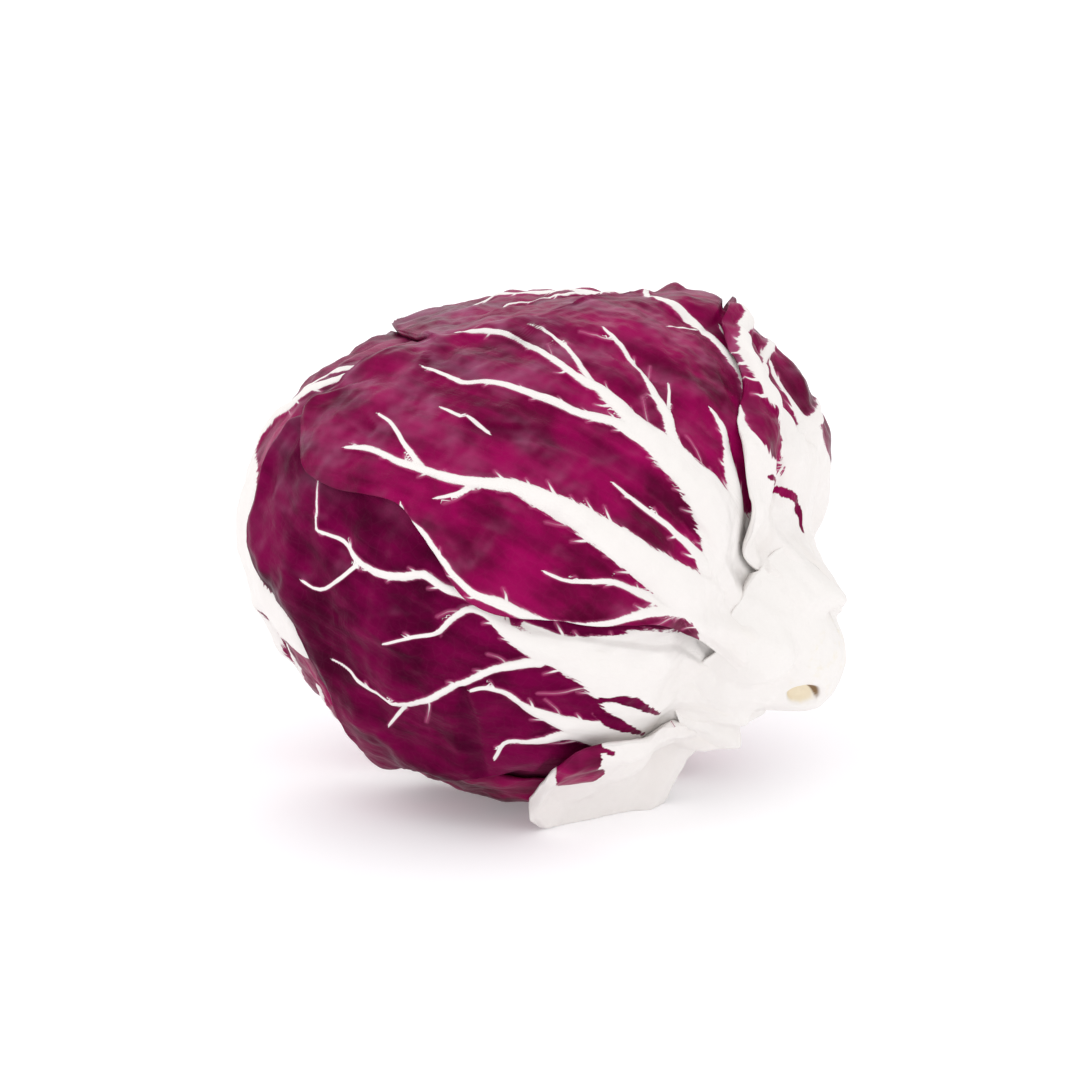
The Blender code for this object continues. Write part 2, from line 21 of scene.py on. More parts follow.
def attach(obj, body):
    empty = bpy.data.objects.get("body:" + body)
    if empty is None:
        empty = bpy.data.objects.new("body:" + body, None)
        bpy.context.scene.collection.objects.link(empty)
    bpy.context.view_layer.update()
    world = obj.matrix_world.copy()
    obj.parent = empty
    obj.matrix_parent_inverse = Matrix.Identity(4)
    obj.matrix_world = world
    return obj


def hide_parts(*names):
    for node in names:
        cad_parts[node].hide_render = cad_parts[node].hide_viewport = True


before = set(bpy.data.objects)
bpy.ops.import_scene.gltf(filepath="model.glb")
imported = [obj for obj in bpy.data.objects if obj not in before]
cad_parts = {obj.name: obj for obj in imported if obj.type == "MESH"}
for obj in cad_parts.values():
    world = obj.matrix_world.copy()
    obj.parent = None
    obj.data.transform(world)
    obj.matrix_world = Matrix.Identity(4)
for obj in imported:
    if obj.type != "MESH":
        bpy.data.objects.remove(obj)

log = logging.getLogger("radicchio")

MM = 0.001
PHOTO_SIDE = 1080
MEAN_RADIUS = 57.0
MM_PER_DEGREE = math.radians(1.0) * MEAN_RADIUS
UV_SIDE = 100.0
FIELD_WAVES = 24

Pair = tuple[float, float]
Triple = tuple[float, float, float]


class Slot(Enum):
    """The record's material slots."""

    BLADE = "leaf_blade"
    RIB = "rib_tissue"
    STEM = "stem_tissue"


# Shared mathematics

def smoothstep(x: np.ndarray) -> np.ndarray:
    """Rise from 0 to 1 with no corner as x goes from 0 to 1.

    Args:
        x: Any numbers; those outside 0 to 1 are held at the ends.

    Returns:
        Three x squared less two x cubed.
    """
    x = np.clip(x, 0.0, 1.0)
    return x * x * (3.0 - 2.0 * x)


def smooth_table(x: np.ndarray, stations: Sequence[float], values: Sequence[float]) -> np.ndarray:
    """Read a curve with no corners through the stations' values.

    Args:
        x: Places to read, held between the first and last station.
        stations: Rising places.
        values: The curve's value at each station.

    Returns:
        A piecewise cubic whose slopes are the table's central differences.
    """
    xs = np.asarray(stations, float)
    ys = np.asarray(values, float)
    slopes = np.gradient(ys, xs)
    x = np.clip(np.asarray(x, float), xs[0], xs[-1])
    i = np.clip(np.searchsorted(xs, x, side="right") - 1, 0, len(xs) - 2)
    step = xs[i + 1] - xs[i]
    t = (x - xs[i]) / step
    start = (1.0 + 2.0 * t) * (1.0 - t) ** 2 * ys[i] + t * (1.0 - t) ** 2 * step * slopes[i]
    end = t * t * (3.0 - 2.0 * t) * ys[i + 1] - t * t * (1.0 - t) * step * slopes[i + 1]
    return start + end


def wave_field(d: np.ndarray, seed: int, finest: float, coarsest: float, count: int) -> np.ndarray:
    """Give a gentle random relief over directions, from about minus 1 to 1.

    Args:
        d: Unit directions, with their three parts on the last axis.
        seed: Which field.
        finest: Shortest wavelength in millimetres on the head.
        coarsest: Longest wavelength.
        count: How many plane waves are added.

    Returns:
        The sum of cosines of random plane waves, scaled by the root of their number.
    """
    rng = np.random.default_rng(seed)
    total = np.zeros(d.shape[:-1])
    for _ in range(count):
        heading = rng.normal(size=3)
        heading /= np.linalg.norm(heading)
        length = finest * (coarsest / finest) ** rng.random()
        total += np.cos(2.0 * math.pi * MEAN_RADIUS / length * (d @ heading) + 6.3 * rng.random())
    return total / math.sqrt(count)


# The head's form

@dataclass(frozen=True)
class HeadForm:
    """The core's size and stance, which every leaf is wrapped round."""

    centre: Triple = (-4.31, 0.94, 52.5)
    tilt: float = 23.0
    crown_reach: float = 58.5
    stem_reach: float = 54.0
    upper_reach: float = 48.5
    lower_reach: float = 53.5
    front_reach: float = 56.0
    back_reach: float = 56.0
    flat_height: float = 48.2
    neck_polar: float = 29.0
    neck_spread: float = 12.0
    neck_depth: float = 8.0
    swellings: tuple[tuple[float, float, float, float], ...] = (
        (0.0, 138.0, 34.0, -9.0),
        (150.0, 124.0, 17.0, -1.3),
        (332.0, 66.0, 18.0, 2.0),
        (337.0, 83.0, 12.0, 3.2),
        (343.0, 110.0, 14.0, -1.0),
        (150.0, 45.0, 16.0, -2.0),
        (328.0, 46.0, 25.0, 2.8),
        (138.0, 144.0, 20.0, 1.8),
        (160.0, 82.0, 14.0, -2.5),
        (195.0, 158.0, 14.0, -1.9),
        (186.0, 25.0, 10.0, -3.6),
        (298.0, 18.0, 10.0, -2.5),
    )

    @property
    def middle(self) -> np.ndarray:
        """The head's centre."""
        return np.array(self.centre)

    @property
    def to_stem(self) -> np.ndarray:
        """The direction of the stem."""
        return np.array([math.cos(math.radians(self.tilt)), 0.0,
                         -math.sin(math.radians(self.tilt))])

    @property
    def to_top(self) -> np.ndarray:
        """The upward direction across the head's axis."""
        return np.array([math.sin(math.radians(self.tilt)), 0.0,
                         math.cos(math.radians(self.tilt))])

    @property
    def to_front(self) -> np.ndarray:
        """The direction of the side seen in front."""
        return np.array([0.0, -1.0, 0.0])

    def direction(self, turn: float, polar: float) -> np.ndarray:
        """Give the direction at a turn round the axis and an angle from the stem.

        Args:
            turn: Angle round the axis, 0 at the top and 90 at the front.
            polar: Angle from the stem.

        Returns:
            A unit direction.
        """
        turn, polar = math.radians(turn), math.radians(polar)
        ring = math.cos(turn) * self.to_top + math.sin(turn) * self.to_front
        return math.cos(polar) * self.to_stem + math.sin(polar) * ring

    def from_stem(self, d: np.ndarray) -> np.ndarray:
        """Give the angles of the directions d from the stem."""
        return np.degrees(np.arccos(np.clip(d @ self.to_stem, -1.0, 1.0)))

    def apart(self, d: np.ndarray, turn: float, polar: float) -> np.ndarray:
        """Give the angles between the directions d and one at a turn and polar angle."""
        return np.degrees(np.arccos(np.clip(d @ self.direction(turn, polar), -1.0, 1.0)))

    def radius(self, d: np.ndarray) -> np.ndarray:
        """Give the core's radius in the directions d.

        Args:
            d: Unit directions.

        Returns:
            An ellipsoid with six half-axes, less a Gaussian ring at the neck, plus a Gaussian
            for each swelling, cut off at a level under the head.
        """
        stem, top, front = d @ self.to_stem, d @ self.to_top, d @ self.to_front
        total = (stem / np.where(stem > 0.0, self.stem_reach, self.crown_reach)) ** 2
        total += (top / np.where(top > 0.0, self.upper_reach, self.lower_reach)) ** 2
        total += (front / np.where(front > 0.0, self.front_reach, self.back_reach)) ** 2
        radius = 1.0 / np.sqrt(total)
        ring = (self.from_stem(d) - self.neck_polar) / self.neck_spread
        radius = radius - self.neck_depth * np.exp(-ring ** 2)
        for turn, polar, spread, height in self.swellings:
            radius = radius + height * np.exp(-(self.apart(d, turn, polar) / spread) ** 2)
        return np.minimum(radius, self.flat_height / np.maximum(-d[..., 2], 0.01))

    def ground(self, d: np.ndarray) -> np.ndarray:
        """Give the radius at which the directions d meet the floor."""
        return self.centre[2] / np.maximum(-d[..., 2], 0.01)


HEAD = HeadForm()


# The camera, which also places the veins that the photograph shows

@dataclass(frozen=True)
class PhotoView:
    """The photograph's viewpoint, on the head's scale of 0.2 mm to a pixel."""

    azimuth: float = 20.0
    elevation: float = 15.0
    lens: float = 500.0
    sensor: float = 36.0
    distance: float = 3000.0
    head_pixel: Pair = (545.0, 530.0)

    @property
    def axes(self) -> tuple[np.ndarray, np.ndarray, np.ndarray]:
        """The directions of the picture's right and up, and back to the camera."""
        a, e = math.radians(self.azimuth), math.radians(self.elevation)
        back = np.array([math.sin(a) * math.cos(e), -math.cos(a) * math.cos(e), math.sin(e)])
        right = np.array([math.cos(a), math.sin(a), 0.0])
        return right, np.cross(back, right), back

    @property
    def place(self) -> np.ndarray:
        """The camera's place, such that the head's centre falls on its pixel."""
        right, up, back = self.axes
        step = self.sensor / self.lens * self.distance / PHOTO_SIDE
        shift_x = (PHOTO_SIDE / 2.0 - self.head_pixel[0]) * step
        shift_y = (self.head_pixel[1] - PHOTO_SIDE / 2.0) * step
        return HEAD.middle + right * shift_x + up * shift_y + back * self.distance

    def rays(self, pixels: np.ndarray) -> np.ndarray:
        """Give the directions in which the camera sees the pixels.

        Args:
            pixels: Pixel places, one row each.

        Returns:
            Unit directions, one row each.
        """
        right, up, back = self.axes
        scale = self.sensor / self.lens / PHOTO_SIDE
        x = (pixels[:, :1] - PHOTO_SIDE / 2.0) * scale
        y = (PHOTO_SIDE / 2.0 - pixels[:, 1:2]) * scale
        ray = x * right + y * up - back
        return ray / np.linalg.norm(ray, axis=1, keepdims=True)

    def make_camera(self) -> bpy.types.Object:
        """Make the scene's camera."""
        data = bpy.data.cameras.new("photo_camera")
        data.lens = self.lens
        data.sensor_width = self.sensor
        data.clip_start = 0.05
        data.clip_end = 50.0
        camera = bpy.data.objects.new("photo_camera", data)
        right, up, back = (Vector(axis) for axis in self.axes)
        turn = Matrix((right, up, back)).transposed().to_4x4()
        camera.matrix_world = Matrix.Translation(Vector(self.place * MM)) @ turn
        bpy.context.scene.collection.objects.link(camera)
        bpy.context.scene.camera = camera
        return camera


VIEW = PhotoView()


# The leaves' forms

@dataclass(frozen=True)
class Rib:
    """One rib by rule: its line as (along, across) points, its width and height at both ends."""

    line: tuple[Pair, ...]
    width: Pair
    height: Pair

    def taper(self, ends: Pair, part: np.ndarray) -> np.ndarray:
        """Narrow from one end's value to the other's, fastest near the start."""
        return ends[1] + (ends[0] - ends[1]) * (1.0 - part) ** 1.6


@dataclass(frozen=True)
class SeenVein:
    """A vein that the photograph shows: (x, y, width) in pixels from base to tip, and height."""

    points: tuple[Triple, ...]
    height: Pair = (0.8, 0.3)
    teeth: bool = True


@dataclass(frozen=True)
class LeafForm:
    """One leaf, placed by the turn of its midrib round the head's axis.

    The left and right tables give the margins' angles across the leaf at the stations along it.
    Ribs by rule are drawn from number ruled_from on where the photograph shows veins.
    """

    name: str
    turn: float
    along: tuple[float, ...]
    left: tuple[float, ...]
    right: tuple[float, ...]
    ribs: tuple[Rib, ...] = ()
    seen: tuple[SeenVein, ...] = ()
    patches: tuple[SeenVein, ...] = ()
    folds: tuple[SeenVein, ...] = ()
    thickness: float = 1.0
    flare: float = 0.8
    ruffle: float = 0.5
    waves: float = 9.0
    phase: float = 0.0
    hug: float = 1.0
    ruled_from: int = 99
    rows: int = 190
    columns: int = 200
    seed: int = 1
    margin_wave: float = 1.1
    tip_length: float = 7.0
    tip_draw: float = 0.96
    base_from: float = 13.0
    base_span: float = 26.0
    base_extra: float = 0.8
    rib_drape: float = 4.5
    rib_clear: float = 0.3
    free_width: float = 12.0
    free_from: float = 18.0
    free_span: float = 24.0

    def axes(self) -> tuple[np.ndarray, np.ndarray, np.ndarray]:
        """Give the leaf's own axes.

        Returns:
            The directions of the stem, of the midrib at the waist, and across the leaf.
        """
        turn = math.radians(self.turn)
        waist = math.cos(turn) * HEAD.to_top + math.sin(turn) * HEAD.to_front
        return HEAD.to_stem, waist, np.cross(HEAD.to_stem, waist)

    def direction(self, along: np.ndarray, across: np.ndarray) -> np.ndarray:
        """Turn angles on the leaf into directions.

        Args:
            along: Angles along the leaf.
            across: Angles across it.

        Returns:
            Unit directions, with their three parts on a new last axis.
        """
        stem, waist, side = self.axes()
        v = np.radians(np.asarray(along, float))[..., None]
        u = np.radians(np.asarray(across, float))[..., None]
        return np.cos(u) * (np.cos(v) * stem + np.sin(v) * waist) + np.sin(u) * side

    def angles(self, d: np.ndarray) -> tuple[np.ndarray, np.ndarray]:
        """Turn directions into angles on the leaf.

        Args:
            d: Unit directions.

        Returns:
            The angles along the leaf, run on past 180 where the leaf does, and across it.
        """
        stem, waist, side = self.axes()
        across = np.degrees(np.arcsin(np.clip(d @ side, -1.0, 1.0)))
        along = np.degrees(np.arctan2(d @ waist, d @ stem))
        return np.where(along < self.along[-1] - 305.0, along + 360.0, along), across

    def margins(self, along: np.ndarray) -> tuple[np.ndarray, np.ndarray]:
        """Give the angles across the leaf of its left and right margins.

        Args:
            along: Angles along the leaf.

        Returns:
            The tables' smooth curves with a small wave, drawn together in a round tip.
        """
        wave = self.margin_wave * np.sin(np.radians(along * self.waves + self.phase))
        left = smooth_table(along, self.along, self.left) + wave
        right = smooth_table(along, self.along, self.right) + 0.8 * wave
        reach = (right - left) / 2.0
        tip = (along - (self.along[-1] - self.tip_length)) / self.tip_length
        tip = np.clip(tip, 0.0, 1.0)
        drawn = reach * (1.0 - np.sqrt(np.clip(1.0 - tip ** 2, 0.0, 1.0))) * self.tip_draw
        return left + drawn, right - drawn

    def inside(self, d: np.ndarray) -> np.ndarray:
        """Give the distance from the leaf's margin.

        Args:
            d: Unit directions.

        Returns:
            The distance in millimetres, positive inside the margin and negative outside it.
        """
        along, across = self.angles(d)
        start, tip = self.along[0], self.along[-1]
        left, right = self.margins(np.clip(along, start, tip))
        sideways = np.minimum(across - left, right - across)
        ends = np.minimum(along - start, tip - along)
        angle = np.where(ends < 0.0, np.minimum(sideways, 0.0) + ends, sideways)
        return np.radians(angle) * MEAN_RADIUS

    def shell(self, d: np.ndarray) -> np.ndarray:
        """Give the blade's thickness at the directions d, thicker towards the stem."""
        base = smoothstep(1.0 - (HEAD.from_stem(d) - self.base_from) / self.base_span)
        return self.thickness + self.base_extra * base

    def relief(self, d: np.ndarray) -> np.ndarray:
        """Give the height that the leaf's ribs add under the leaves above it.

        Args:
            d: Unit directions.

        Returns:
            The highest of the ribs at each direction: a rib's height over its own width,
            falling away smoothly over the drape's width on both sides.
        """
        along, across = self.angles(d)
        rise = np.zeros(along.shape)
        scale = np.cos(np.radians(across))
        for rib in self.ribs:
            points = np.asarray(rib.line, float)
            lengths = np.hypot(*np.diff(points, axis=0).T)
            reached = np.concatenate([[0.0], np.cumsum(lengths)]) / lengths.sum()
            for k in range(len(lengths)):
                dv, du = (points[k + 1] - points[k])
                pv, pu = (along - points[k, 0]) * scale, across - points[k, 1]
                dv = dv * scale
                t = np.clip((pv * dv + pu * du) / (dv * dv + du * du), 0.0, 1.0)
                distance = np.radians(np.hypot(pv - t * dv, pu - t * du)) * MEAN_RADIUS
                part = reached[k] + (reached[k + 1] - reached[k]) * t
                beyond = distance - rib.taper(rib.width, part) / 2.0
                cover = smoothstep(1.0 - beyond / self.rib_drape)
                top = rib.taper(rib.height, part) + self.rib_clear
                rise = np.maximum(rise, top * cover)
        return rise

    def lift(self, d: np.ndarray) -> np.ndarray:
        """Give how far the free margin stands off.

        Args:
            d: Unit directions.

        Returns:
            The flare plus a sine ruffle along the margin, which fade out inwards and
            towards the stem.
        """
        along, across = self.angles(d)
        left, right = self.margins(np.clip(along, self.along[0], self.along[-1]))
        near = smoothstep(1.0 - self.inside(d) / self.free_width)
        part = (across - left) / np.maximum(right - left, 0.5)
        near = near * (self.hug + (1.0 - self.hug) * smoothstep(part))
        free = smoothstep((HEAD.from_stem(d) - self.free_from) / self.free_span)
        ruffle = self.ruffle * np.sin(np.radians(along * self.waves * 1.7 + self.phase))
        return near * free * (self.flare + ruffle)


UNDER_LEAF = LeafForm(
    "under_leaf", 180.0,
    (13, 30, 60, 90, 120, 145, 160, 176, 200, 217, 228),
    (-14, -26, -42, -48, -50, -50, -52, -54, -52, -46, -36),
    (14, 26, 42, 50, 46, 24, -2, -12, -22, -21, -22),
    (Rib(((25, 0), (60, 0), (80, -1), (105, -7), (125, -16), (145, -25), (158, -24),
          (171, -18), (181, -18), (192, -25), (207, -29), (220, -31)), (23, 2.4), (2.6, 0.9)),
     Rib(((86, -2), (104, -20), (120, -36)), (4.0, 1.6), (1.2, 0.7)),
     Rib(((112, -9), (128, -26), (140, -40)), (3.2, 1.4), (1.1, 0.7)),
     Rib(((40, 3), (62, 20), (84, 38)), (4.0, 1.6), (1.2, 0.7)),
     Rib(((84, -1), (108, 16), (126, 32)), (3.2, 1.4), (1.1, 0.7))),
    seen=(
        SeenVein(((296, 640, 36), (276, 618, 46), (260, 598, 52), (250, 572, 52), (246, 540, 40),
                  (246, 500, 50), (248, 460, 54), (256, 434, 44), (274, 413, 28),
                  (298, 393, 20), (322, 374, 13), (350, 366, 6)), (1.0, 0.6), teeth=False),
        SeenVein(((720, 735, 80), (670, 735, 90), (620, 738, 70)), (0.0, 0.0), teeth=False),
    ),
    flare=0.4, ruffle=0.2, phase=40.0, ruled_from=0, rows=220, columns=170, seed=3)

BACK_LEAF = LeafForm(
    "back_leaf", 262.0,
    (13, 30, 60, 90, 120, 145, 160),
    (-14, -30, -46, -50, -44, -30, -12),
    (14, 30, 46, 50, 42, 26, 8),
    (Rib(((16, 0), (50, 1), (95, -1), (140, 2)), (21, 2.2), (2.2, 0.8)),
     Rib(((48, 1), (72, -20), (92, -38)), (4.0, 1.6), (1.2, 0.7)),
     Rib(((54, 1), (80, 22), (98, 38)), (4.0, 1.6), (1.2, 0.7)),
     Rib(((86, -1), (108, -18), (124, -30)), (3.0, 1.4), (1.0, 0.7)),
     Rib(((92, -1), (114, 14), (128, 26)), (3.0, 1.4), (1.0, 0.7))),
    phase=110.0, rows=170, columns=180, seed=5)

TOP_LEAF = LeafForm(
    "top_leaf", -32.0,
    (13, 30, 60, 90, 120, 130, 140, 150, 156),
    (-14, -28, -44, -48, -42, -37, -31, -22, -14),
    (14, 28, 42, 45, 49, 50, 49, 45, 38),
    (Rib(((16, 0), (50, 0), (90, 2), (136, 4)), (20, 2.2), (2.0, 0.8)),
     Rib(((50, 0), (76, -20), (94, -36)), (3.6, 1.6), (1.1, 0.7)),
     Rib(((56, 0), (84, 20), (104, 34)), (3.6, 1.6), (1.1, 0.7)),
     Rib(((90, 2), (112, -14), (126, -26)), (3.0, 1.4), (1.0, 0.7)),
     Rib(((98, 2), (116, 13), (129, 19)), (3.0, 1.4), (1.0, 0.7))),
    flare=0.0, ruffle=0.15, waves=11.0, phase=200.0, rows=180, columns=180, seed=7)

LOWER_LEAF = LeafForm(
    "lower_leaf", 100.0,
    (13, 25, 40, 55, 70, 85, 99, 105, 110, 115, 120, 132, 138, 143, 147),
    (-16, -24, -30, -34, -36, -38, -38, -37, -37, -36, -35, -33, -31, -27, -18),
    (16, 18, 20, 22, 30, 38, 49, 42, 29, 21, 15, 13, 10, 3, -8),
    (Rib(((16, 0), (33, -2), (52, -4)), (20, 30), (2.0, 1.0)),
     Rib(((48, -5), (62, -8), (74, -10), (83, -10), (89, -3), (98, 5)), (9.0, 1.6), (1.8, 0.7)),
     Rib(((74, -10), (88, -15), (100, -9), (111, -6), (122, -6)), (3.2, 1.4), (1.1, 0.7)),
     Rib(((48, 0), (66, 5), (83, 8), (91, 16), (98, 19), (109, 18)), (5.0, 1.4), (1.4, 0.7)),
     Rib(((34, 4), (52, 13), (63, 16), (70, 21)), (5.0, 1.6), (1.4, 0.7))),
    seen=(
        SeenVein(((745, 690, 60), (700, 700, 90), (650, 690, 84), (600, 669, 46), (560, 655, 30),
                  (530, 645, 22), (508, 631, 14), (484, 612, 8), (473, 609, 6), (452, 619, 5),
                  (436, 634, 4), (413, 637, 3), (387, 642, 2)), (2.0, 0.3)),
        SeenVein(((500, 618, 8), (470, 597, 8), (440, 586, 7), (426, 576, 7), (402, 577, 7),
                  (376, 572, 7), (358, 561, 5), (345, 544, 4), (320, 530, 2)), (0.9, 0.3)),
        SeenVein(((357, 565, 4), (336, 583, 3), (322, 589, 3), (306, 580, 2)), (0.5, 0.2),
                 teeth=False),
        SeenVein(((540, 663, 10), (500, 667, 7), (470, 680, 6), (450, 688, 6), (430, 698, 6),
                  (406, 704, 5), (374, 692, 4), (352, 673, 3), (335, 659, 2)), (1.0, 0.3)),
        SeenVein(((406, 705, 4), (391, 723, 2)), (0.4, 0.2)),
        SeenVein(((660, 725, 50), (620, 732, 40), (590, 731, 24), (558, 723, 14), (528, 710, 8),
                  (500, 690, 5), (484, 687, 4), (471, 690, 3)), (1.4, 0.3)),
        SeenVein(((610, 742, 22), (570, 735, 14), (536, 742, 8), (508, 741, 4), (495, 757, 3)),
                 (0.8, 0.3)),
        SeenVein(((320, 530, 2), (318, 505, 2), (318, 480, 1.4)), (0.3, 0.2)),
        SeenVein(((655, 690, 60), (690, 700, 110), (730, 705, 120), (765, 700, 120)), (0.0, 0.0)),
        SeenVein(((745, 665, 90), (690, 660, 80), (640, 657, 54), (596, 651, 26), (556, 640, 12),
                  (524, 624, 5)), (0.0, 0.0), teeth=False),
        SeenVein(((720, 735, 60), (680, 740, 50), (640, 744, 26)), (0.0, 0.0)),
    ),
    folds=(
        SeenVein(((463, 688, 6), (467, 712, 16), (473, 744, 18), (480, 770, 12)), (1.0, 1.1)),
        SeenVein(((430, 612, 5), (400, 604, 14), (370, 606, 14), (340, 615, 5)), (0.6, 0.5)),
        SeenVein(((420, 660, 5), (390, 655, 14), (355, 640, 14), (330, 630, 5)), (0.5, 0.5)),
        SeenVein(((700, 640, 5), (735, 690, 9), (737, 720, 5)), (0.4, 0.4)),
    ),
    patches=(
        SeenVein(((600, 699, 3), (616, 698, 9), (632, 700, 11), (646, 705, 6), (657, 709, 1)),
                 teeth=False),
        SeenVein(((591, 706, 5), (602, 715, 12), (616, 722, 12), (630, 727, 7), (642, 730, 1)),
                 teeth=False),
        SeenVein(((596, 753, 6), (604, 756, 9), (616, 759, 3)), teeth=False),
        SeenVein(((619, 752, 4), (628, 754, 6), (638, 756, 2)), teeth=False),
        SeenVein(((560, 700, 4), (580, 702, 9), (600, 699, 6)), teeth=False),
    ),
    flare=1.0, ruffle=0.4, phase=15.0, rows=215, columns=215, seed=11)

FRONT_LEAF = LeafForm(
    "front_leaf", 45.0,
    (13, 25, 35, 45, 56, 70, 85, 98, 104, 110, 118, 129, 137, 143),
    (-12, -16, -22, -40, -60, -70, -72, -70, -58, -34, -23, -10, 2, 10),
    (14, 17, 19, 22, 32, 39, 41, 37, 34, 31, 30, 30, 28, 22),
    (Rib(((16, 1), (32, 0), (50, -3)), (20, 34), (2.2, 1.0)),
     Rib(((32, 6), (44, 12), (58, 15), (70, 16), (89, 18), (101, 22), (114, 23), (128, 22)),
         (11.0, 1.6), (2.2, 0.7)),
     Rib(((48, -1), (60, -6), (72, -8), (89, -11), (105, -13), (119, -11)), (8.0, 1.5),
         (1.9, 0.7)),
     Rib(((68, -7), (81, -5), (95, -2), (111, 2), (120, 2)), (3.4, 1.4), (1.2, 0.7)),
     Rib(((52, -5), (60, -11), (68, -16), (79, -23), (93, -30)), (4.6, 1.4), (1.3, 0.7)),
     Rib(((30, -4), (42, -19), (50, -41), (58, -50), (74, -58), (96, -65)), (5.0, 1.5),
         (1.4, 0.7)),
     Rib(((42, 14), (50, 22), (63, 33), (77, 36), (88, 36), (101, 32)), (3.0, 1.4),
         (1.0, 0.7))),
    seen=(
        SeenVein(((775, 650, 66), (748, 600, 76), (727, 538, 68), (703, 486, 44), (671, 454, 30),
                  (643, 427, 23), (602, 390, 14), (581, 378, 10), (546, 355, 8), (521, 342, 7),
                  (496, 332, 6), (463, 329, 4), (431, 327, 3), (418, 324, 2)), (2.0, 0.3)),
        SeenVein(((595, 388, 8), (580, 363, 6), (563, 345, 4), (540, 330, 3), (530, 326, 2)),
                 (0.6, 0.2)),
        SeenVein(((700, 500, 20), (665, 462, 14), (640, 440, 12), (615, 422, 11), (580, 412, 9),
                  (555, 401, 8), (535, 394, 7), (500, 383, 6), (458, 380, 5), (447, 375, 4),
                  (425, 369, 2.4)), (1.0, 0.3)),
        SeenVein(((712, 500, 24), (700, 480, 20), (681, 455, 14), (672, 438, 12), (667, 415, 11),
                  (655, 395, 9), (640, 370, 7), (625, 348, 5), (603, 330, 2.4)), (1.2, 0.3)),
        SeenVein(((748, 560, 34), (738, 505, 24), (728, 455, 12), (725, 440, 8), (720, 420, 6),
                  (710, 410, 3)), (0.9, 0.3)),
        SeenVein(((770, 560, 24), (762, 500, 18), (757, 440, 12), (750, 400, 12), (741, 371, 13),
                  (727, 353, 12), (708, 333, 11), (692, 320, 9), (668, 303, 7), (648, 286, 4)),
                 (1.0, 0.3)),
        SeenVein(((775, 650, 70), (735, 625, 64), (700, 601, 44), (640, 560, 31), (590, 524, 25),
                  (540, 498, 18), (510, 485, 12), (480, 483, 9), (450, 478, 8), (425, 470, 7),
                  (400, 462, 6), (360, 447, 4.5), (345, 447, 2.4)), (2.2, 0.3)),
        SeenVein(((422, 468, 6), (405, 445, 4), (388, 420, 3), (380, 415, 2)), (0.4, 0.2),
                 teeth=False),
        SeenVein(((492, 484, 7), (475, 486, 5), (460, 493, 4), (437, 498, 2.4)), (0.4, 0.2)),
        SeenVein(((709, 571, 22), (694, 550, 9), (674, 531, 6), (654, 515, 5), (632, 498, 4),
                  (613, 484, 2)), (0.5, 0.2)),
        SeenVein(((690, 606, 16), (655, 599, 9), (628, 588, 5), (614, 582, 5), (590, 582, 4),
                  (569, 581, 3), (545, 572, 2)), (0.5, 0.2)),
        SeenVein(((715, 625, 26), (680, 611, 11), (640, 614, 7), (610, 625, 6), (590, 628, 6),
                  (550, 626, 7), (530, 619, 8), (500, 604, 8), (475, 595, 7), (460, 583, 6),
                  (440, 560, 5.5), (420, 530, 5), (405, 518, 4), (400, 505, 2)), (1.0, 0.4)),
        SeenVein(((722, 512, 26), (738, 545, 54), (752, 590, 90), (765, 650, 110)), (0.0, 0.0)),
        SeenVein(((690, 590, 40), (722, 622, 70), (755, 655, 90), (775, 690, 90)), (0.0, 0.0)),
        SeenVein(((668, 408, 4), (668, 395, 3), (668, 385, 1.6)), (0.3, 0.2), teeth=False),
        SeenVein(((695, 329, 4), (682, 327, 3), (668, 327, 1.6)), (0.3, 0.2), teeth=False),
        SeenVein(((740, 356, 5), (730, 340, 4), (720, 327, 2)), (0.3, 0.2), teeth=False),
        SeenVein(((462, 418, 3), (452, 413, 3), (442, 409, 1.6)), (0.3, 0.2), teeth=False),
        SeenVein(((488, 432, 3), (476, 423, 4), (466, 416, 1.6)), (0.3, 0.2), teeth=False),
    ),
    folds=(
        SeenVein(((700, 535, 6), (668, 500, 14), (640, 475, 18), (610, 458, 18), (580, 447, 16),
                  (540, 437, 16), (500, 433, 12), (466, 425, 4)), (0.8, 0.6)),
        SeenVein(((735, 620, 6), (722, 590, 16), (712, 560, 16), (700, 540, 6)), (0.5, 0.5)),
        SeenVein(((590, 560, 6), (540, 540, 14), (500, 520, 14), (460, 512, 6)), (0.5, 0.7)),
        SeenVein(((470, 560, 6), (455, 530, 14), (440, 500, 14), (430, 480, 5)), (0.7, 0.5)),
        SeenVein(((370, 430, 6), (350, 405, 16), (330, 385, 16), (320, 365, 6)), (0.5, 0.6)),
        SeenVein(((640, 395, 5), (600, 360, 14), (560, 330, 14), (520, 312, 6)), (0.4, 0.6)),
    ),
    flare=0.4, ruffle=0.3, phase=70.0, rows=215, columns=215, seed=13)

FOOT_LEAF = LeafForm(
    "foot_leaf", 139.0,
    (20, 25, 32, 40, 48, 54, 59, 63),
    (3, -1, -9, -17, -21, -20, -14, -5),
    (8, 15, 19.5, 20, 17, 13, 7, 1),
    seen=(SeenVein(((735, 735, 90), (690, 765, 130), (640, 775, 150), (590, 780, 130),
                    (548, 795, 110), (546, 825, 110)), (0.0, 0.0), teeth=False),),
    patches=(
        SeenVein(((560, 770, 5), (567, 778, 18), (577, 782, 32), (588, 776, 30)), teeth=False),
        SeenVein(((586, 742, 10), (588, 754, 20), (584, 766, 32), (578, 778, 24)), teeth=False),
        SeenVein(((598, 756, 6), (606, 758, 6), (614, 758, 2)), teeth=False),
    ),
    thickness=2.6, flare=5.0, ruffle=0.3, waves=7.0, hug=0.4, rows=130, columns=130, seed=17)

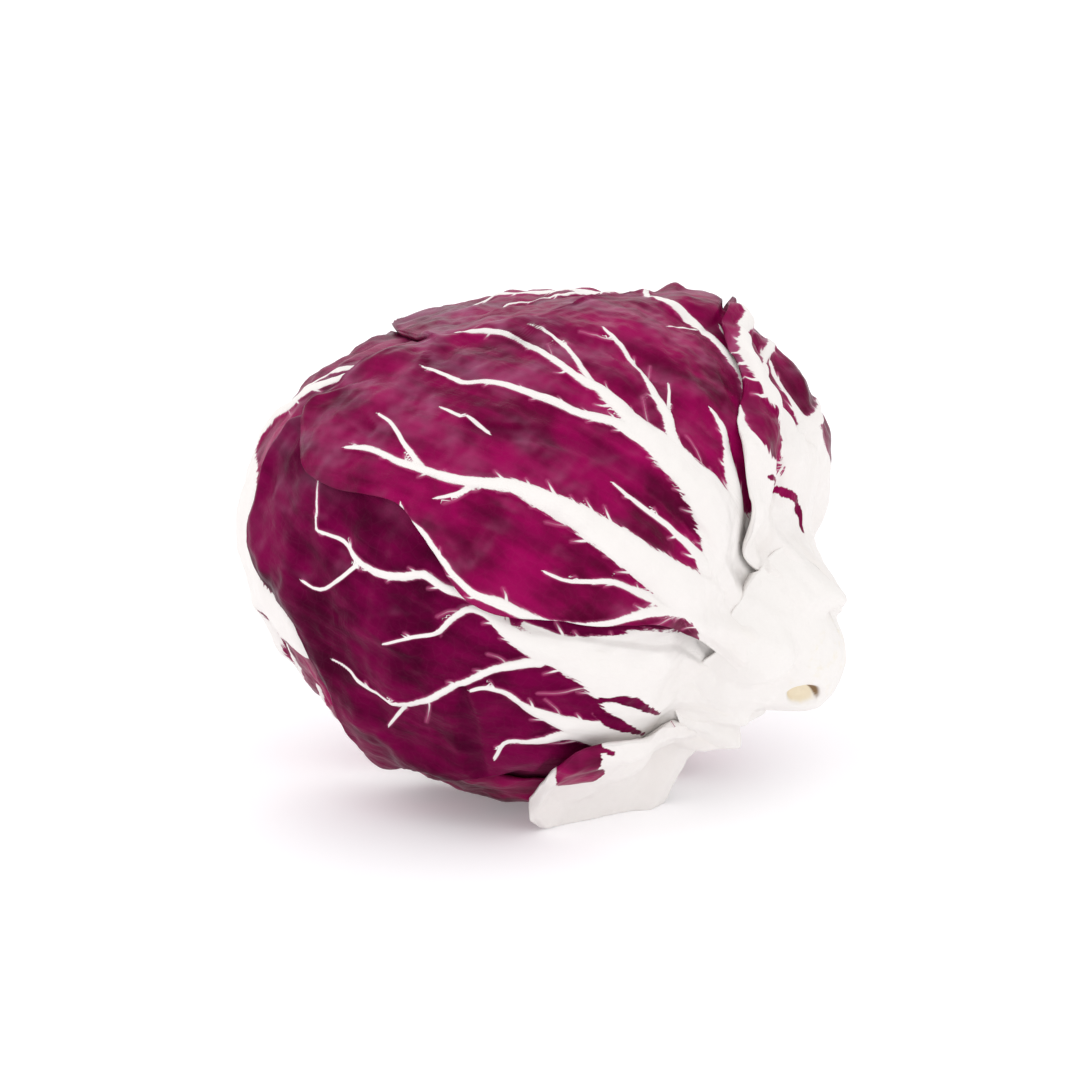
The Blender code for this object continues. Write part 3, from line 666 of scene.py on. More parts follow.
CREST_LEAF = LeafForm(
    "crest_leaf", -20.0,
    (13, 17, 25, 32, 40, 47, 57, 64, 70, 76, 81),
    (-14, -20, -26, -32, -38, -42, -46, -46, -44, -38, -28),
    (14, 22, 27, 30.5, 31, 29.5, 22.5, 18, 13, 7, -3),
    (Rib(((16, 6), (30, 13), (44, 18), (54, 17), (62, 13), (69, 8), (74, 2)), (18, 3.6),
         (2.4, 1.2)),
     Rib(((44, 15), (52, -8), (58, -26), (60, -38)), (4.0, 1.6), (1.2, 0.7)),
     Rib(((61, 12), (68, -6), (71, -24)), (3.2, 1.5), (1.1, 0.7))),
    seen=(
        SeenVein(((810, 660, 66), (808, 600, 70), (806, 540, 120), (801, 480, 70), (795, 447, 44),
                  (786, 420, 31), (776, 393, 23), (761, 367, 17), (747, 342, 12), (744, 328, 12),
                  (748, 313, 15), (754, 300, 15)), (2.4, 0.8)),
        SeenVein(((744, 405, 3), (746, 430, 12), (748, 455, 38), (758, 490, 64), (770, 525, 110),
                  (785, 580, 150), (800, 640, 150)), (0.0, 0.0)),
        SeenVein(((820, 540, 90), (822, 480, 40), (804, 428, 17), (787, 394, 11), (770, 362, 4)),
                 (0.6, 0.2)),
    ),
    patches=(
        SeenVein(((772, 476, 2), (780, 492, 8), (788, 510, 8), (797, 531, 2)), teeth=False),
    ),
    flare=0.5, ruffle=0.5, waves=13.0, phase=160.0, ruled_from=1, rows=180, columns=170, seed=19)

LEAVES = (UNDER_LEAF, BACK_LEAF, TOP_LEAF, LOWER_LEAF, FRONT_LEAF, FOOT_LEAF, CREST_LEAF)


class LeafStack:
    """The leaves from the innermost outwards, and the radii at which each one lies."""

    gap: float = 0.45
    drape: float = 7.0
    search: Pair = (75.0, 15.0)
    search_steps: int = 240

    def __init__(self, leaves: Sequence[LeafForm]) -> None:
        """Keep the leaves in order."""
        self.leaves = list(leaves)

    def bare(self, order: int, d: np.ndarray) -> np.ndarray:
        """Give how far a leaf lies free of the leaves above it.

        Args:
            order: The leaf's place, or -1 for the core below them all.
            d: Unit directions.

        Returns:
            From 0 under a leaf to 1 in the open.
        """
        bare = np.ones(d.shape[:-1])
        for leaf in self.leaves[order + 1:]:
            bare *= 1.0 - smoothstep(1.0 + leaf.inside(d) / self.drape)
        return bare

    def inner(self, order: int, d: np.ndarray, drape: float = drape) -> np.ndarray:
        """Give a leaf's inner radius.

        Args:
            order: The leaf's place, 0 for the innermost.
            d: Unit directions.
            drape: The width over which it drapes past a lower leaf's margin.

        Returns:
            The core's radius plus, for each leaf below, its thickness, ribs and free margin,
            each fading out over the drape's width beyond that leaf's margin.
        """
        radius = HEAD.radius(d) + self.gap
        for k in range(order):
            leaf = self.leaves[k]
            rise = leaf.shell(d) + self.gap + leaf.relief(d) + leaf.lift(d) * self.bare(k, d)
            radius = radius + rise * smoothstep(1.0 + leaf.inside(d) / drape)
        if order == len(self.leaves):
            return radius
        return radius + self.leaves[order].lift(d) * self.bare(order, d)

    def outer(self, order: int, d: np.ndarray) -> np.ndarray:
        """Give a leaf's outer radius without its veins."""
        return self.inner(order, d) + self.leaves[order].shell(d)

    def seen_at(self, order: int, pixels: np.ndarray, stand: np.ndarray) -> np.ndarray:
        """Find where the camera's rays through the pixels meet a leaf.

        Args:
            order: The leaf's place in the stack.
            pixels: Pixel places, one row each.
            stand: How far each place stands above the blade.

        Returns:
            The (along, across) angles of each ray's first meeting with the tops of the leaf's
            veins, or of its closest approach where it passes by.
        """
        rays = VIEW.rays(pixels)
        reach = np.linspace(VIEW.distance - self.search[0], VIEW.distance + self.search[1],
                            self.search_steps)
        places = VIEW.place + rays[:, None, :] * reach[:, None] - HEAD.middle
        size = np.linalg.norm(places, axis=2)
        d = places / size[..., None]
        above = size - self.outer(order, d) - stand[:, None]
        rows = np.arange(len(pixels))
        met = (above <= 0.0).any(axis=1)
        first = np.where(met, np.argmax(above <= 0.0, axis=1), np.argmin(above, axis=1))
        before = np.maximum(first - 1, 0)
        high, low = above[rows, before], above[rows, first]
        part = np.where(met & (high > low), high / np.maximum(high - low, 1e-6), 1.0)
        place = places[rows, before] + (places[rows, first] - places[rows, before]) * part[:, None]
        along, across = self.leaves[order].angles(
            place / np.linalg.norm(place, axis=1, keepdims=True))
        return np.stack([along, across], axis=1)


# Veins

@dataclass
class VeinLine:
    """A vein laid out on a leaf: its line, half-widths and heights in leaf coordinates."""

    line: np.ndarray
    half: np.ndarray
    height: np.ndarray
    teeth: bool = True


def resample(line: np.ndarray, values: Sequence[np.ndarray],
             step: float) -> tuple[np.ndarray, list[np.ndarray]]:
    """Read a line again at even steps, along a smooth curve.

    Args:
        line: (along, across) points in degrees.
        values: Numbers carried along the line.
        step: The wanted step in millimetres.

    Returns:
        The new points and the values at them.
    """
    flat = np.stack([line[:, 0] * np.cos(np.radians(line[:, 1])), line[:, 1]], axis=1)
    flat = flat * MM_PER_DEGREE
    lengths = np.maximum(np.linalg.norm(np.diff(flat, axis=0), axis=1), 1e-3)
    reached = np.concatenate([[0.0], np.cumsum(lengths)])
    count = max(2, int(math.ceil(reached[-1] / step)) + 1)
    at = np.linspace(0.0, reached[-1], count)
    new = np.stack([smooth_table(at, reached, line[:, k]) for k in range(2)], axis=1)
    return new, [np.interp(at, reached, value) for value in values]


class VeinMap:
    """Distances from a leaf's veins in millimetres, worked out on the leaf's grid.

    The broad field is the distance outside the nearest broad vein's edge.  For thin veins the
    map keeps the signed distance from the nearest centreline as well, because a signed
    distance stays straight where it crosses a vein thinner than the grid's cells.  A vein's
    raised profile ends at the slope's width past its edge.
    """

    far: float = 9.0
    thin: float = 0.45
    overlap: float = 0.1
    spread: float = 3.5
    room: float = 1.6
    step: float = 1.6
    patch_step: float = 1.0
    slope: float = 0.9
    shoulder: float = 1.4
    roundness: float = 0.55

    def __init__(self, along: np.ndarray, across: np.ndarray) -> None:
        """Start with no vein anywhere.

        Args:
            along: Angles along the leaf, the same across each row.
            across: Angles across the leaf.
        """
        self.along = along
        self.across = across
        shape = across.shape
        self.broad = np.full(shape, self.far)
        self.stout = np.zeros(shape)
        self.side = np.full(shape, self.far)
        self.gap = np.full(shape, self.far)
        self.half = np.full(shape, 0.0)
        self.patch = np.full(shape, self.far)
        self.rise = np.zeros(shape)

    def segments(self, vein: VeinLine) -> None:
        """Lay one vein's segments on the map, each within its own band of rows.

        Args:
            vein: The vein, already sampled at even steps.
        """
        scale = MM_PER_DEGREE
        for k in range(len(vein.line) - 1):
            a, b = vein.line[k], vein.line[k + 1]
            half_a, half_b = vein.half[k], vein.half[k + 1]
            reach = (max(half_a, half_b) + self.spread) / scale * self.room
            low = np.searchsorted(self.along[:, 0], min(a[0], b[0]) - reach)
            high = np.searchsorted(self.along[:, 0], max(a[0], b[0]) + reach)
            if high <= low:
                continue
            band = slice(low, high)
            squeeze = math.cos(math.radians((a[1] + b[1]) / 2.0))
            x = (self.along[band] - a[0]) * squeeze * scale
            y = (self.across[band] - a[1]) * scale
            dx, dy = (b[0] - a[0]) * squeeze * scale, (b[1] - a[1]) * scale
            t = np.clip((x * dx + y * dy) / max(dx * dx + dy * dy, 1e-9), 0.0, 1.0)
            off_x, off_y = x - t * dx, y - t * dy
            distance = np.hypot(off_x, off_y)
            half = half_a + (half_b - half_a) * t
            height = vein.height[k] + (vein.height[k + 1] - vein.height[k]) * t
            edge = distance - half
            self.stout[band] = np.where((half > self.thin) & (edge < self.broad[band]), half,
                                        self.stout[band])
            self.broad[band] = np.minimum(self.broad[band], np.where(half > self.thin, edge,
                                                                     self.far))
            nearer = (edge < self.gap[band] - self.half[band]) & (half <= self.thin + self.overlap)
            side = np.sign(dx * off_y - dy * off_x) * distance
            self.side[band] = np.where(nearer, side, self.side[band])
            self.half[band] = np.where(nearer, half, self.half[band])
            self.gap[band] = np.where(nearer, distance, self.gap[band])
            across = distance / (half + self.slope)
            arch = np.clip(1.0 - across ** 2, 0.0, 1.0) ** 1.5
            flat = smoothstep((half + self.slope - distance) / self.shoulder)
            crown = height * (self.roundness * arch + (1.0 - self.roundness) * flat)
            self.rise[band] = np.maximum(self.rise[band], crown)

    def add(self, vein: VeinLine) -> None:
        """Lay one vein on the map at even steps."""
        line, (half, height) = resample(vein.line, [vein.half, vein.height], self.step)
        self.segments(VeinLine(line, half, height, vein.teeth))

    def add_patch(self, vein: VeinLine) -> None:
        """Lay a purple patch on the map, as the distance outside its edge.

        Args:
            vein: The patch's line and half-widths.
        """
        kept = (self.broad.copy(), self.side.copy(), self.gap.copy(), self.half.copy(),
                self.rise.copy(), self.stout.copy())
        self.broad[:] = self.far
        line, (half, height) = resample(vein.line, [vein.half, vein.height], self.patch_step)
        self.segments(VeinLine(line, np.maximum(half, self.thin + 0.01), height * 0.0, False))
        self.patch = np.minimum(self.patch, self.broad)
        self.broad, self.side, self.gap, self.half, self.rise, self.stout = kept


class VeinGrower:
    """Grows the small veins that leave a rib at a slant and curve towards the leaf's tip.

    The slants and the wander are in radians, and the lengths and half-widths in millimetres.
    """

    step: float = 1.6
    wander: float = 0.10
    slants: Pair = (0.42, 0.85)
    full_half: float = 2.2
    long_share: float = 0.07
    long_lengths: Pair = (4.0, 9.0)
    long_halves: Pair = (0.08, 0.15)
    short_lengths: Pair = (0.6, 1.5)
    spacing: Pair = (1.2, 3.0)

    def __init__(self, seed: int) -> None:
        """Start the grower's own random sequence."""
        self.rng = np.random.default_rng(seed)

    def branch(self, start: np.ndarray, heading: float, length: float, half: float,
               bend: float) -> VeinLine:
        """Grow one small vein.

        Args:
            start: Its (along, across) start.
            heading: Its first heading, as an angle on the leaf.
            length: Its length in millimetres.
            half: Its half-width at the start.
            bend: How far its heading turns by its end.

        Returns:
            The vein, tapering to a point.
        """
        steps = max(3, int(length / self.step))
        part = np.linspace(0.0, 1.0, steps)
        wander = self.rng.normal(0.0, self.wander, steps).cumsum()
        angle = heading + bend * part + wander
        step = length / (steps - 1) / MM_PER_DEGREE
        squeeze = math.cos(math.radians(start[1]))
        along = start[0] + np.concatenate([[0.0], np.cumsum(np.cos(angle[:-1]) * step)]) / squeeze
        across = start[1] + np.concatenate([[0.0], np.cumsum(np.sin(angle[:-1]) * step)])
        taper = half * (1.0 - part) ** 1.3 + 0.05
        return VeinLine(np.stack([along, across], 1), taper, 0.25 * (1.0 - part))

    def teeth(self, rib: VeinLine) -> list[VeinLine]:
        """Grow the short veins along both sides of a rib.

        Args:
            rib: The rib.

        Returns:
            Short pointed veins, closer together on a broad rib, a few longer and thinner.
        """
        line, (half, _) = resample(rib.line, [rib.half, rib.height], 1.0)
        run = np.gradient(line[:, 0]) * np.cos(np.radians(line[:, 1]))
        tangent = np.arctan2(np.gradient(line[:, 1]), run)
        made = []
        place, sign = self.rng.uniform(0.5, 3.0), 1.0
        while place < len(line) - 2:
            k = int(place)
            slant = self.rng.uniform(*self.slants)
            inner = half[k] / math.sin(slant)
            long_one = self.rng.random() < self.long_share
            stout = min(1.0, half[k] / self.full_half)
            if long_one:
                length = self.rng.uniform(*self.long_lengths)
                width = self.rng.uniform(*self.long_halves)
            else:
                length = self.rng.uniform(*self.short_lengths) + 2.6 * stout * self.rng.random()
                width = 0.16 + 0.34 * stout
            away = half[k] * 0.75 / MM_PER_DEGREE
            heading = tangent[k] + sign * slant
            start = line[k] + np.array([math.cos(heading) / math.cos(math.radians(line[k, 1])),
                                        math.sin(heading)]) * away
            made.append(self.branch(start, heading, length + 0.3 * inner, width,
                                    -sign * slant * self.rng.uniform(0.2, 0.9)))
            place += self.rng.uniform(*self.spacing) + 9.0 * (1.0 - stout) ** 2
            sign = -sign if self.rng.random() < 0.8 else sign
        return made


# Meshes

class Surface:
    """A smooth mesh in the scene, whose points carry numbers for its finish."""

    def __init__(self, name: str, points: np.ndarray, faces: list[list[int]]) -> None:
        """Make the mesh and its object.

        Args:
            name: The piece's name.
            points: Points in millimetres, one row each.
            faces: The point numbers of each face.
        """
        self.mesh = bpy.data.meshes.new(name)
        self.mesh.from_pydata((points * MM).tolist(), [], faces)
        self.mesh.polygons.foreach_set("use_smooth", np.ones(len(faces), bool))
        self.mesh.update()
        self.object = bpy.data.objects.new(name, self.mesh)
        bpy.context.scene.collection.objects.link(self.object)

    def carry(self, name: str, values: np.ndarray) -> None:
        """Store a number at each point."""
        layer = self.mesh.attributes.new(name, "FLOAT", "POINT")
        layer.data.foreach_set("value", values.astype(np.float32).ravel())

    def lay_uv(self, x: np.ndarray, y: np.ndarray) -> None:
        """Lay a UV map that follows the surface.

        Args:
            x: The first coordinate at each point.
            y: The second.
        """
        layer = self.mesh.uv_layers.new(name="leaf")
        corner = np.zeros(len(self.mesh.loops), np.int32)
        self.mesh.loops.foreach_get("vertex_index", corner)
        flat = np.stack([x.ravel(), y.ravel()], axis=1)[corner]
        layer.data.foreach_set("uv", flat.astype(np.float32).ravel())


class Shell(Surface):
    """A thin closed body between two matching grids of points."""

    def __init__(self, name: str, inner: np.ndarray, outer: np.ndarray) -> None:
        """Join the grids.

        Args:
            name: The piece's name.
            inner: Inner points on a grid, in millimetres.
            outer: Outer points on the same grid.
        """
        rows, columns = inner.shape[:2]
        count = rows * columns
        index = np.arange(count).reshape(rows, columns)
        a, b = index[:-1, :-1].ravel(), index[1:, :-1].ravel()
        c, e = index[1:, 1:].ravel(), index[:-1, 1:].ravel()
        top = np.stack([a, b, c, e], 1) + count
        bottom = np.stack([a, e, c, b], 1)
        ring = np.concatenate([index[0, :-1], index[:-1, -1], index[-1, :0:-1], index[:0:-1, 0]])
        after = np.roll(ring, -1)
        rim = np.stack([ring, ring + count, after + count, after], 1)
        faces = np.concatenate([top, bottom, rim])
        points = np.concatenate([inner.reshape(-1, 3), outer.reshape(-1, 3)])
        middle = points.mean(axis=0)
        p, q, r = (points[faces[:, k]] - middle for k in range(3))
        if np.einsum("ij,ij->i", p, np.cross(q, r)).sum() < 0.0:
            faces = faces[:, ::-1]
        super().__init__(name, points, faces.tolist())

    def carry(self, name: str, values: np.ndarray) -> None:
        """Store a number at each grid point, the same on both faces."""
        super().carry(name, np.tile(values.ravel(), 2))

    def lay_uv(self, x: np.ndarray, y: np.ndarray) -> None:
        """Lay a UV map over the grid, the same on both faces."""
        super().lay_uv(np.tile(x.ravel(), 2), np.tile(y.ravel(), 2))


# Finishes

class NodeKit:
    """Short ways to add nodes to a tree.  A value may be a number, a colour or a socket."""

    def __init__(self, tree: bpy.types.NodeTree) -> None:
        """Keep the tree."""
        self.tree = tree

    def link(self, source: bpy.types.NodeSocket, target: bpy.types.NodeSocket) -> None:
        """Join two sockets."""
        self.tree.links.new(source, target)

    def feed(self, target: bpy.types.NodeSocket, value: object) -> None:
        """Give a socket its value.

        Args:
            target: The socket.
            value: A socket to join to it, a plain value to set, or None to leave it.
        """
        if isinstance(value, bpy.types.NodeSocket):
            self.link(value, target)
        elif value is not None:
            target.default_value = value

    def math(self, kind: str, first: object, second: object = None,
             third: object = None) -> bpy.types.NodeSocket:
        """Add a Math node.

        Args:
            kind: The operation.
            first: The first value.
            second: The second, where the operation has one.
            third: The third, where it has one.

        Returns:
            The result.
        """
        node = self.tree.nodes.new("ShaderNodeMath")
        node.operation = kind
        for socket, value in zip(node.inputs, (first, second, third)):
            self.feed(socket, value)
        return node.outputs[0]

    def ramp(self, value: object, low: object, high: object) -> bpy.types.NodeSocket:
        """Add a smooth ramp.

        Args:
            value: What is read.
            low: Where the ramp is 0.
            high: Where it is 1.

        Returns:
            The ramp's share.
        """
        node = self.tree.nodes.new("ShaderNodeMapRange")
        node.interpolation_type = "SMOOTHSTEP"
        for name, given in (("Value", value), ("From Min", low), ("From Max", high)):
            self.feed(node.inputs[name], given)
        return node.outputs["Result"]

    def mix(self, factor: object, first: object, second: object) -> bpy.types.NodeSocket:
        """Add a colour mix.

        Args:
            factor: The share of the second colour.
            first: The colour at a share of 0, a triple or a socket.
            second: The colour at a share of 1, a triple or a socket.

        Returns:
            The mixed colour.
        """
        node = self.tree.nodes.new("ShaderNodeMix")
        node.data_type = "RGBA"
        self.feed(node.inputs[0], factor)
        for socket, colour in ((node.inputs[6], first), (node.inputs[7], second)):
            self.feed(socket, (*colour, 1.0) if isinstance(colour, tuple) else colour)
        return node.outputs[2]

    def attribute(self, name: str) -> bpy.types.NodeSocket:
        """Add a reader of a mesh attribute."""
        node = self.tree.nodes.new("ShaderNodeAttribute")
        node.attribute_name = name
        return node.outputs["Fac"]

    def noise(self, vector: object, scale: float, detail: float = 3.0,
              rough: float = 0.55) -> bpy.types.NodeSocket:
        """Add a noise texture.

        Args:
            vector: Where it is read.
            scale: Its scale.
            detail: How many finer layers it has.
            rough: How strong the finer layers are.

        Returns:
            Its level, mostly from 0.3 to 0.7.
        """
        node = self.tree.nodes.new("ShaderNodeTexNoise")
        node.inputs["Scale"].default_value = scale
        node.inputs["Detail"].default_value = detail
        node.inputs["Roughness"].default_value = rough
        self.feed(node.inputs["Vector"], vector)
        return node.outputs["Fac"]

    def voronoi_edge(self, vector: object, scale: float) -> bpy.types.NodeSocket:
        """Add a cell pattern.

        Args:
            vector: Where it is read.
            scale: Its scale.

        Returns:
            The distance to the cells' edges.
        """
        node = self.tree.nodes.new("ShaderNodeTexVoronoi")
        node.feature = "DISTANCE_TO_EDGE"
        node.inputs["Scale"].default_value = scale
        self.feed(node.inputs["Vector"], vector)
        return node.outputs["Distance"]

    def bump(self, height: bpy.types.NodeSocket, strength: float,
             depth: float) -> bpy.types.NodeSocket:
        """Add a bump.

        Args:
            height: The relief.
            strength: How strongly it bends the normal.
            depth: The relief's depth in metres.

        Returns:
            The bent normal.
        """
        node = self.tree.nodes.new("ShaderNodeBump")
        node.inputs["Strength"].default_value = strength
        node.inputs["Distance"].default_value = depth
        self.link(height, node.inputs["Height"])
        return node.outputs["Normal"]


class FibreGroup:
    """The fleshy grain that ribs, leaf bases and the stem share: fine lines along the leaf."""

    name: str = "fleshy_fibres"
    squash: Triple = (0.16, 1.0, 1.0)

    def build(self) -> bpy.types.NodeTree:
        """Build the group once.

        Returns:
            A group with a Vector input and Height, Tint and Fray outputs.
        """
        if self.name in bpy.data.node_groups:
            return bpy.data.node_groups[self.name]
        tree = bpy.data.node_groups.new(self.name, "ShaderNodeTree")
        tree.interface.new_socket("Vector", in_out="INPUT", socket_type="NodeSocketVector")
        for output in ("Height", "Tint", "Fray"):
            tree.interface.new_socket(output, in_out="OUTPUT", socket_type="NodeSocketFloat")
        start = tree.nodes.new("NodeGroupInput")
        end = tree.nodes.new("NodeGroupOutput")
        kit = NodeKit(tree)
        squash = tree.nodes.new("ShaderNodeMapping")
        squash.inputs["Scale"].default_value = self.squash
        kit.link(start.outputs["Vector"], squash.inputs["Vector"])
        along = squash.outputs["Vector"]
        kit.link(kit.noise(along, 130.0, 2.0), end.inputs["Height"])
        kit.link(kit.noise(along, 26.0, 3.0), end.inputs["Tint"])
        kit.link(kit.noise(along, 105.0, 3.0, 0.7), end.inputs["Fray"])
        return tree

    def add(self, kit: NodeKit, vector: bpy.types.NodeSocket) -> bpy.types.Node:
        """Add the group to a material.

        Args:
            kit: The material's node kit.
            vector: Where the grain is read.

        Returns:
            The group's node.
        """
        node = kit.tree.nodes.new("ShaderNodeGroup")
        node.node_tree = self.build()
        kit.link(vector, node.inputs["Vector"])
        return node


@dataclass(frozen=True)
class LeafFinish:
    """Waxy purple blade with white veins: colours are linear red, green and blue."""

    deep: Triple = (0.078, 0.0004, 0.018)
    bright: Triple = (0.30, 0.0014, 0.080)
    lilac: Triple = (0.42, 0.15, 0.27)
    pink: Triple = (0.56, 0.10, 0.25)
    white: Triple = (0.85, 0.82, 0.795)
    cream: Triple = (0.83, 0.79, 0.70)
    shade: Triple = (0.03, 0.001, 0.012)
    gloss_tint: Triple = (1.0, 0.30, 0.62)
    gloss: float = 0.09
    roughness: float = 0.36
    rib_roughness: float = 0.42
    fraying: float = 3.6
    patch_fraying: float = 0.38
    halo: float = 0.45
    net: float = 0.012
    crease_shade: float = 0.35
    bump_strength: float = 0.35
    bump_depth: float = 0.0006

    def whiteness(self, kit: NodeKit, ragged: bpy.types.NodeSocket, edge: bpy.types.NodeSocket,
                  patch: bpy.types.NodeSocket) -> bpy.types.NodeSocket:
        """Mark the white veins.

        Args:
            kit: The material's node kit.
            ragged: Fine noise for the thin veins' edges.
            edge: The frayed distance outside the broad veins.
            patch: The share of purple patches, which lie over the veins.

        Returns:
            From 0 on the purple blade to 1 on the veins.
        """
        half = kit.attribute("vein_half")
        side = kit.math("ABSOLUTE", kit.attribute("vein_side"))
        spare = kit.math("SUBTRACT", kit.math("SUBTRACT", half, side), 0.08)
        thin = kit.ramp(kit.math("MULTIPLY_ADD", ragged, 0.16, spare), -0.10, 0.08)
        near = kit.ramp(kit.math("SUBTRACT", kit.attribute("vein_gap"), half), 0.7, 0.4)
        thin = kit.math("MULTIPLY", kit.math("MULTIPLY", thin, near), kit.ramp(half, 0.02, 0.22))
        whole = kit.math("MAXIMUM", kit.ramp(edge, 0.16, -0.12), thin)
        return kit.math("MULTIPLY", whole, kit.math("SUBTRACT", 1.0, patch))

    def halo_share(self, kit: NodeKit, edge: bpy.types.NodeSocket,
                   patch: bpy.types.NodeSocket) -> bpy.types.NodeSocket:
        """Mark the pink halo beside the veins.

        Args:
            kit: The material's node kit.
            edge: The frayed distance outside the broad veins.
            patch: The share of purple patches, which have no halo.

        Returns:
            The halo's share.
        """
        gap = kit.math("SUBTRACT", kit.attribute("vein_gap"), 0.2)
        near = kit.ramp(kit.math("MINIMUM", edge, gap), 0.55, -0.1)
        return kit.math("MULTIPLY", near, kit.math("MULTIPLY_ADD", patch, -self.halo, self.halo))

    def build(self, name: str) -> bpy.types.Material:
        """Build the material for one leaf.

        Args:
            name: The material's name.

        Returns:
            A Principled material that reads the leaf's vein map and its UV map.
        """
        material = bpy.data.materials.new(name)
        material.use_nodes = True
        tree = material.node_tree
        kit = NodeKit(tree)
        shader = tree.nodes["Principled BSDF"]
        where = tree.nodes.new("ShaderNodeTexCoord").outputs["Object"]
        uv = tree.nodes.new("ShaderNodeUVMap")
        uv.uv_map = "leaf"
        fibre = FibreGroup().add(kit, uv.outputs["UV"])
        ragged = kit.noise(where, 520.0, 3.0)
        coarse = kit.noise(where, 170.0, 2.0)
        tone = kit.noise(where, 55.0, 4.0)
        streak = fibre.outputs["Tint"]
        net = kit.ramp(kit.voronoi_edge(where, 420.0), 0.08, 0.0)

        jitter = kit.math("MULTIPLY_ADD", ragged, 0.5, -0.25)
        loose = kit.math("MULTIPLY_ADD", fibre.outputs["Fray"], self.fraying,
                         kit.math("SUBTRACT", jitter, self.fraying / 2.0))
        edge = kit.math("ADD", kit.attribute("rib_edge"),
                        kit.math("MULTIPLY", loose, kit.attribute("fray")))
        patch = kit.ramp(kit.math("MULTIPLY_ADD", loose, self.patch_fraying,
                                  kit.attribute("patch_edge")), 0.12, -0.12)
        white = self.whiteness(kit, ragged, edge, patch)

        level = kit.math("ADD", tone, kit.math("MULTIPLY", streak, 0.5))
        purple = kit.mix(kit.ramp(level, 0.52, 0.98), self.deep, self.bright)
        purple = kit.mix(kit.math("MULTIPLY", net, self.net), purple, self.lilac)
        purple = kit.mix(self.halo_share(kit, edge, patch), purple, self.pink)
        # painted sheen: lilac mixed in where the blade faces the light, with a paler band at the
        # margin
        sheen_and_pale_rim = kit.math("MULTIPLY", kit.attribute("sheen_and_pale_rim"), kit.ramp(coarse, 0.25, 0.75))
        purple = kit.mix(sheen_and_pale_rim, purple, self.lilac)
        # painted shade: the blade is darkened in its creases, most where they are deepest
        hollow = kit.math("MULTIPLY", kit.attribute("hollow"), self.crease_shade)
        purple = kit.mix(hollow, purple, self.shade)
        creamy = kit.math("MULTIPLY", kit.attribute("to_stem"), kit.ramp(streak, 0.40, 0.75))
        pale = kit.mix(creamy, self.white, self.cream)
        kit.link(kit.mix(white, purple, pale), shader.inputs["Base Color"])

        rough = kit.math("MULTIPLY_ADD", tone, 0.22, self.roughness - 0.11)
        drier = kit.math("MULTIPLY", white, self.rib_roughness - self.roughness)
        kit.link(kit.math("ADD", drier, rough), shader.inputs["Roughness"])
        shader.inputs["Specular IOR Level"].default_value = self.gloss
        shader.inputs["Specular Tint"].default_value = (*self.gloss_tint, 1.0)

        relief = kit.math("MULTIPLY_ADD", white, 0.9, kit.math("MULTIPLY", net, -0.06))
        relief = kit.math("MULTIPLY_ADD", fibre.outputs["Height"], 0.45, relief)
        relief = kit.math("MULTIPLY_ADD", kit.noise(where, 240.0, 3.0), 0.9, relief)
        relief = kit.math("MULTIPLY_ADD", coarse, 1.1, relief)
        kit.link(kit.bump(relief, self.bump_strength, self.bump_depth), shader.inputs["Normal"])
        return material


# painted shade: a darker copy of the purple for the leaf low in front, turned down towards the floor,
# with less gloss
SHADED_LOWER_FINISH = LeafFinish(deep=(0.050, 0.0003, 0.014), bright=(0.18, 0.0010, 0.052), gloss=0.04)


@dataclass(frozen=True)
class StemFinish:
    """Cut stub: white flesh that has dried to cream and tan round its hollow."""

    flesh: Triple = (0.85, 0.82, 0.795)
    dried: Triple = (0.82, 0.75, 0.60)
    hollow: Triple = (0.80, 0.70, 0.52)
    # painted shadow: dark brown laid on the hollow's upper wall, where its rim shades it
    painted_shadow: Triple = (0.20, 0.11, 0.04)
    roughness: float = 0.62
    bump_strength: float = 0.5
    bump_depth: float = 0.0005

    def build(self, name: str) -> bpy.types.Material:
        """Build the stem's material.

        Args:
            name: The material's name.

        Returns:
            A Principled material that reads the stub's cut, sunk and painted shadow attributes.
        """
        material = bpy.data.materials.new(name)
        material.use_nodes = True
        tree = material.node_tree
        kit = NodeKit(tree)
        shader = tree.nodes["Principled BSDF"]
        where = tree.nodes.new("ShaderNodeTexCoord").outputs["Object"]
        fibre = FibreGroup().add(kit, where)
        spots = kit.noise(where, 420.0, 4.0)
        dry = kit.math("MULTIPLY", kit.attribute("cut"), kit.ramp(spots, 0.50, 0.95))
        colour = kit.mix(dry, self.flesh, self.dried)
        sunk = kit.ramp(kit.math("MULTIPLY_ADD", spots, 0.3, kit.attribute("sunk")), 0.45, 0.95)
        colour = kit.mix(sunk, colour, self.hollow)
        # painted shadow inside the hollow
        colour = kit.mix(kit.ramp(kit.attribute("painted_shadow"), 0.15, 0.8), colour, self.painted_shadow)
        kit.link(colour, shader.inputs["Base Color"])
        shader.inputs["Roughness"].default_value = self.roughness
        relief = kit.math("ADD", spots, fibre.outputs["Height"])
        kit.link(kit.bump(relief, self.bump_strength, self.bump_depth), shader.inputs["Normal"])
        return material


# Pieces

